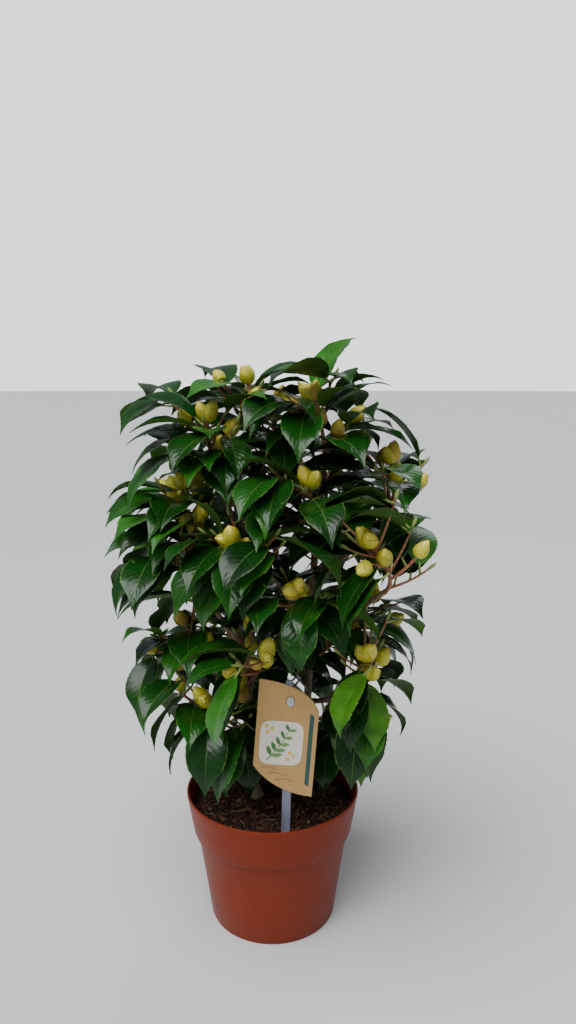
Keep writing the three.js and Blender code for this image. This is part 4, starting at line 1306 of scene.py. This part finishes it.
def choose_faces(piece, wanted):
    """Opens the piece for editing with only the wanted faces selected."""
    choose(piece)
    bpy.ops.object.mode_set(mode="EDIT")
    bpy.ops.mesh.select_mode(type="FACE")
    bpy.ops.mesh.select_all(action="DESELECT")
    bpy.ops.object.mode_set(mode="OBJECT")
    for face in piece.data.polygons:
        face.select = wanted(face)
    bpy.ops.object.mode_set(mode="EDIT")


def round_edges(piece, width, segments):
    rounding = piece.modifiers.new("rounding", "BEVEL")
    rounding.width = width
    rounding.segments = segments
    rounding.limit_method = "ANGLE"
    bpy.ops.object.modifier_apply(modifier=rounding.name)


bpy.ops.object.select_all(action="DESELECT")
low, painted_light_share = STICK_FOOT + STICK_POINT, STICK_TOP - STICK_NECK
bpy.ops.mesh.primitive_cube_add(
    size=1, location=on_stick((low + painted_light_share) / 2), rotation=(0, STICK_LEAN, 0),
    scale=(STICK_SIZE[0] / 1000, STICK_SIZE[1] / 1000, (painted_light_share - low) / 1000),
)
stick = bpy.context.object
stick.name = "label_stick_moulded"
bpy.ops.object.transform_apply(location=True, rotation=True, scale=True)
for end, begin, narrowed in ((STICK_FOOT, low, (0.3, 0.6, 1)), (STICK_TOP, painted_light_share, (0.7, 0.8, 1))):
    side = math.copysign(1, end - begin)
    choose_faces(stick, lambda face: face.normal.z * side > 0.9)
    added = on_stick(end) - on_stick(begin)
    bpy.ops.mesh.extrude_region_move(TRANSFORM_OT_translate={"value": added})
    bpy.ops.transform.resize(value=narrowed, center_override=on_stick(end))
    bpy.ops.object.mode_set(mode="OBJECT")
choose_faces(stick, lambda face: abs(face.normal.y) > 0.9 and face.area > 0.001)
bpy.ops.mesh.inset(thickness=0.0016, use_individual=True)
bpy.ops.mesh.inset(thickness=0.0002, depth=-0.0006, use_individual=True)
bpy.ops.object.mode_set(mode="OBJECT")
round_edges(stick, 0.0004, 3)
bpy.ops.mesh.primitive_cylinder_add(
    vertices=36, radius=0.0035, depth=0.0034, location=Vector(on_card(*STUD_PLACE, -0.8)) / 1000,
    rotation=(math.pi / 2, -CARD_TILT, 0), scale=(1, 1.36, 1),
)
stud = bpy.context.object
bpy.ops.object.transform_apply(location=True, rotation=True, scale=True)
round_edges(stud, 0.0007, 4)
for piece, name, dark, pale in (
    (stick, "grey moulded stick", (0.165, 0.175, 0.225), (0.225, 0.24, 0.3)),
    (stud, "pale stud", (0.4, 0.385, 0.42), (0.5, 0.48, 0.52)),
):
    plastic, shader, place = new_finish(name, dark, 0.4)
    place.feed(shader["Base Color"], place.noise(40.0, 3.0).blend(dark, pale))
    place.feed(shader["Roughness"], 0.34 + place.noise(90.0, 4.0) * 0.2)
    piece.data.materials.append(plastic)
stick.select_set(True)
bpy.context.view_layer.objects.active = stick
bpy.ops.object.join()
shade_smooth(stick, 35)
settle(stick, "stick", "label_stick")


# The stage: a pale floor, an even pale surround, soft light from above, and the camera at the
# height and angle of a person who looks down a little at the plant.

bpy.ops.object.select_all(action="DESELECT")
bpy.ops.mesh.primitive_circle_add(vertices=96, radius=40, fill_type="NGON")
floor = bpy.context.object
floor.name = "floor"
pale, shader, place = new_finish("pale floor", (0.54, 0.54, 0.545), 0.8)
floor.data.materials.append(pale)

# The surround looks bright to the camera and sheds a weaker light on the plant.
world = bpy.data.worlds.new("pale surround")
world.use_nodes = True
nodes, links = world.node_tree.nodes, world.node_tree.links
seen, shed = nodes["Background"], nodes.new("ShaderNodeBackground")
seen.inputs["Color"].default_value = (0.98, 1.0, 1.02, 1)
seen.inputs["Strength"].default_value = 1.75
shed.inputs["Color"].default_value = (0.86, 0.93, 1.0, 1)
shed.inputs["Strength"].default_value = 0.32
rays, mix = nodes.new("ShaderNodeLightPath"), nodes.new("ShaderNodeMixShader")
links.new(rays.outputs["Is Camera Ray"], mix.inputs[0])
links.new(shed.outputs[0], mix.inputs[1])
links.new(seen.outputs[0], mix.inputs[2])
links.new(mix.outputs[0], nodes["World Output"].inputs["Surface"])
bpy.context.scene.world = world

for name, kind, where, size, power in (
    ("overhead light", "SUN", (-0.35, -0.5, 1.6), math.radians(50), 4.6),
    ("window light", "AREA", (-1.1, -1.3, 1.5), 0.8, 6),
    ("back light", "AREA", (0.6, 1.4, 1.5), 0.8, 5),
):
    lamp = bpy.data.lights.new(name, kind)
    lamp.energy = power
    if kind == "SUN":
        lamp.angle = size
    else:
        lamp.size = size
    holder = bpy.data.objects.new(name, lamp)
    holder.location = where
    aim = Vector((0, 0, 0.3)) - Vector(where)
    holder.rotation_euler = aim.to_track_quat("-Z", "Y").to_euler()
    bpy.context.scene.collection.objects.link(holder)

# The camera's place in metres, how far down it looks in degrees, and its focal length.
CAMERA_PLACE, LOOKS_DOWN, FOCAL_LENGTH = (0.0153, -0.7127, 0.528), 9.7, 27.07
lens = bpy.data.cameras.new("camera")
lens.lens = FOCAL_LENGTH
camera = bpy.data.objects.new("camera", lens)
camera.location = CAMERA_PLACE
camera.rotation_euler = (math.radians(90 - LOOKS_DOWN), 0, 0)
bpy.context.scene.collection.objects.link(camera)
bpy.context.scene.camera = camera
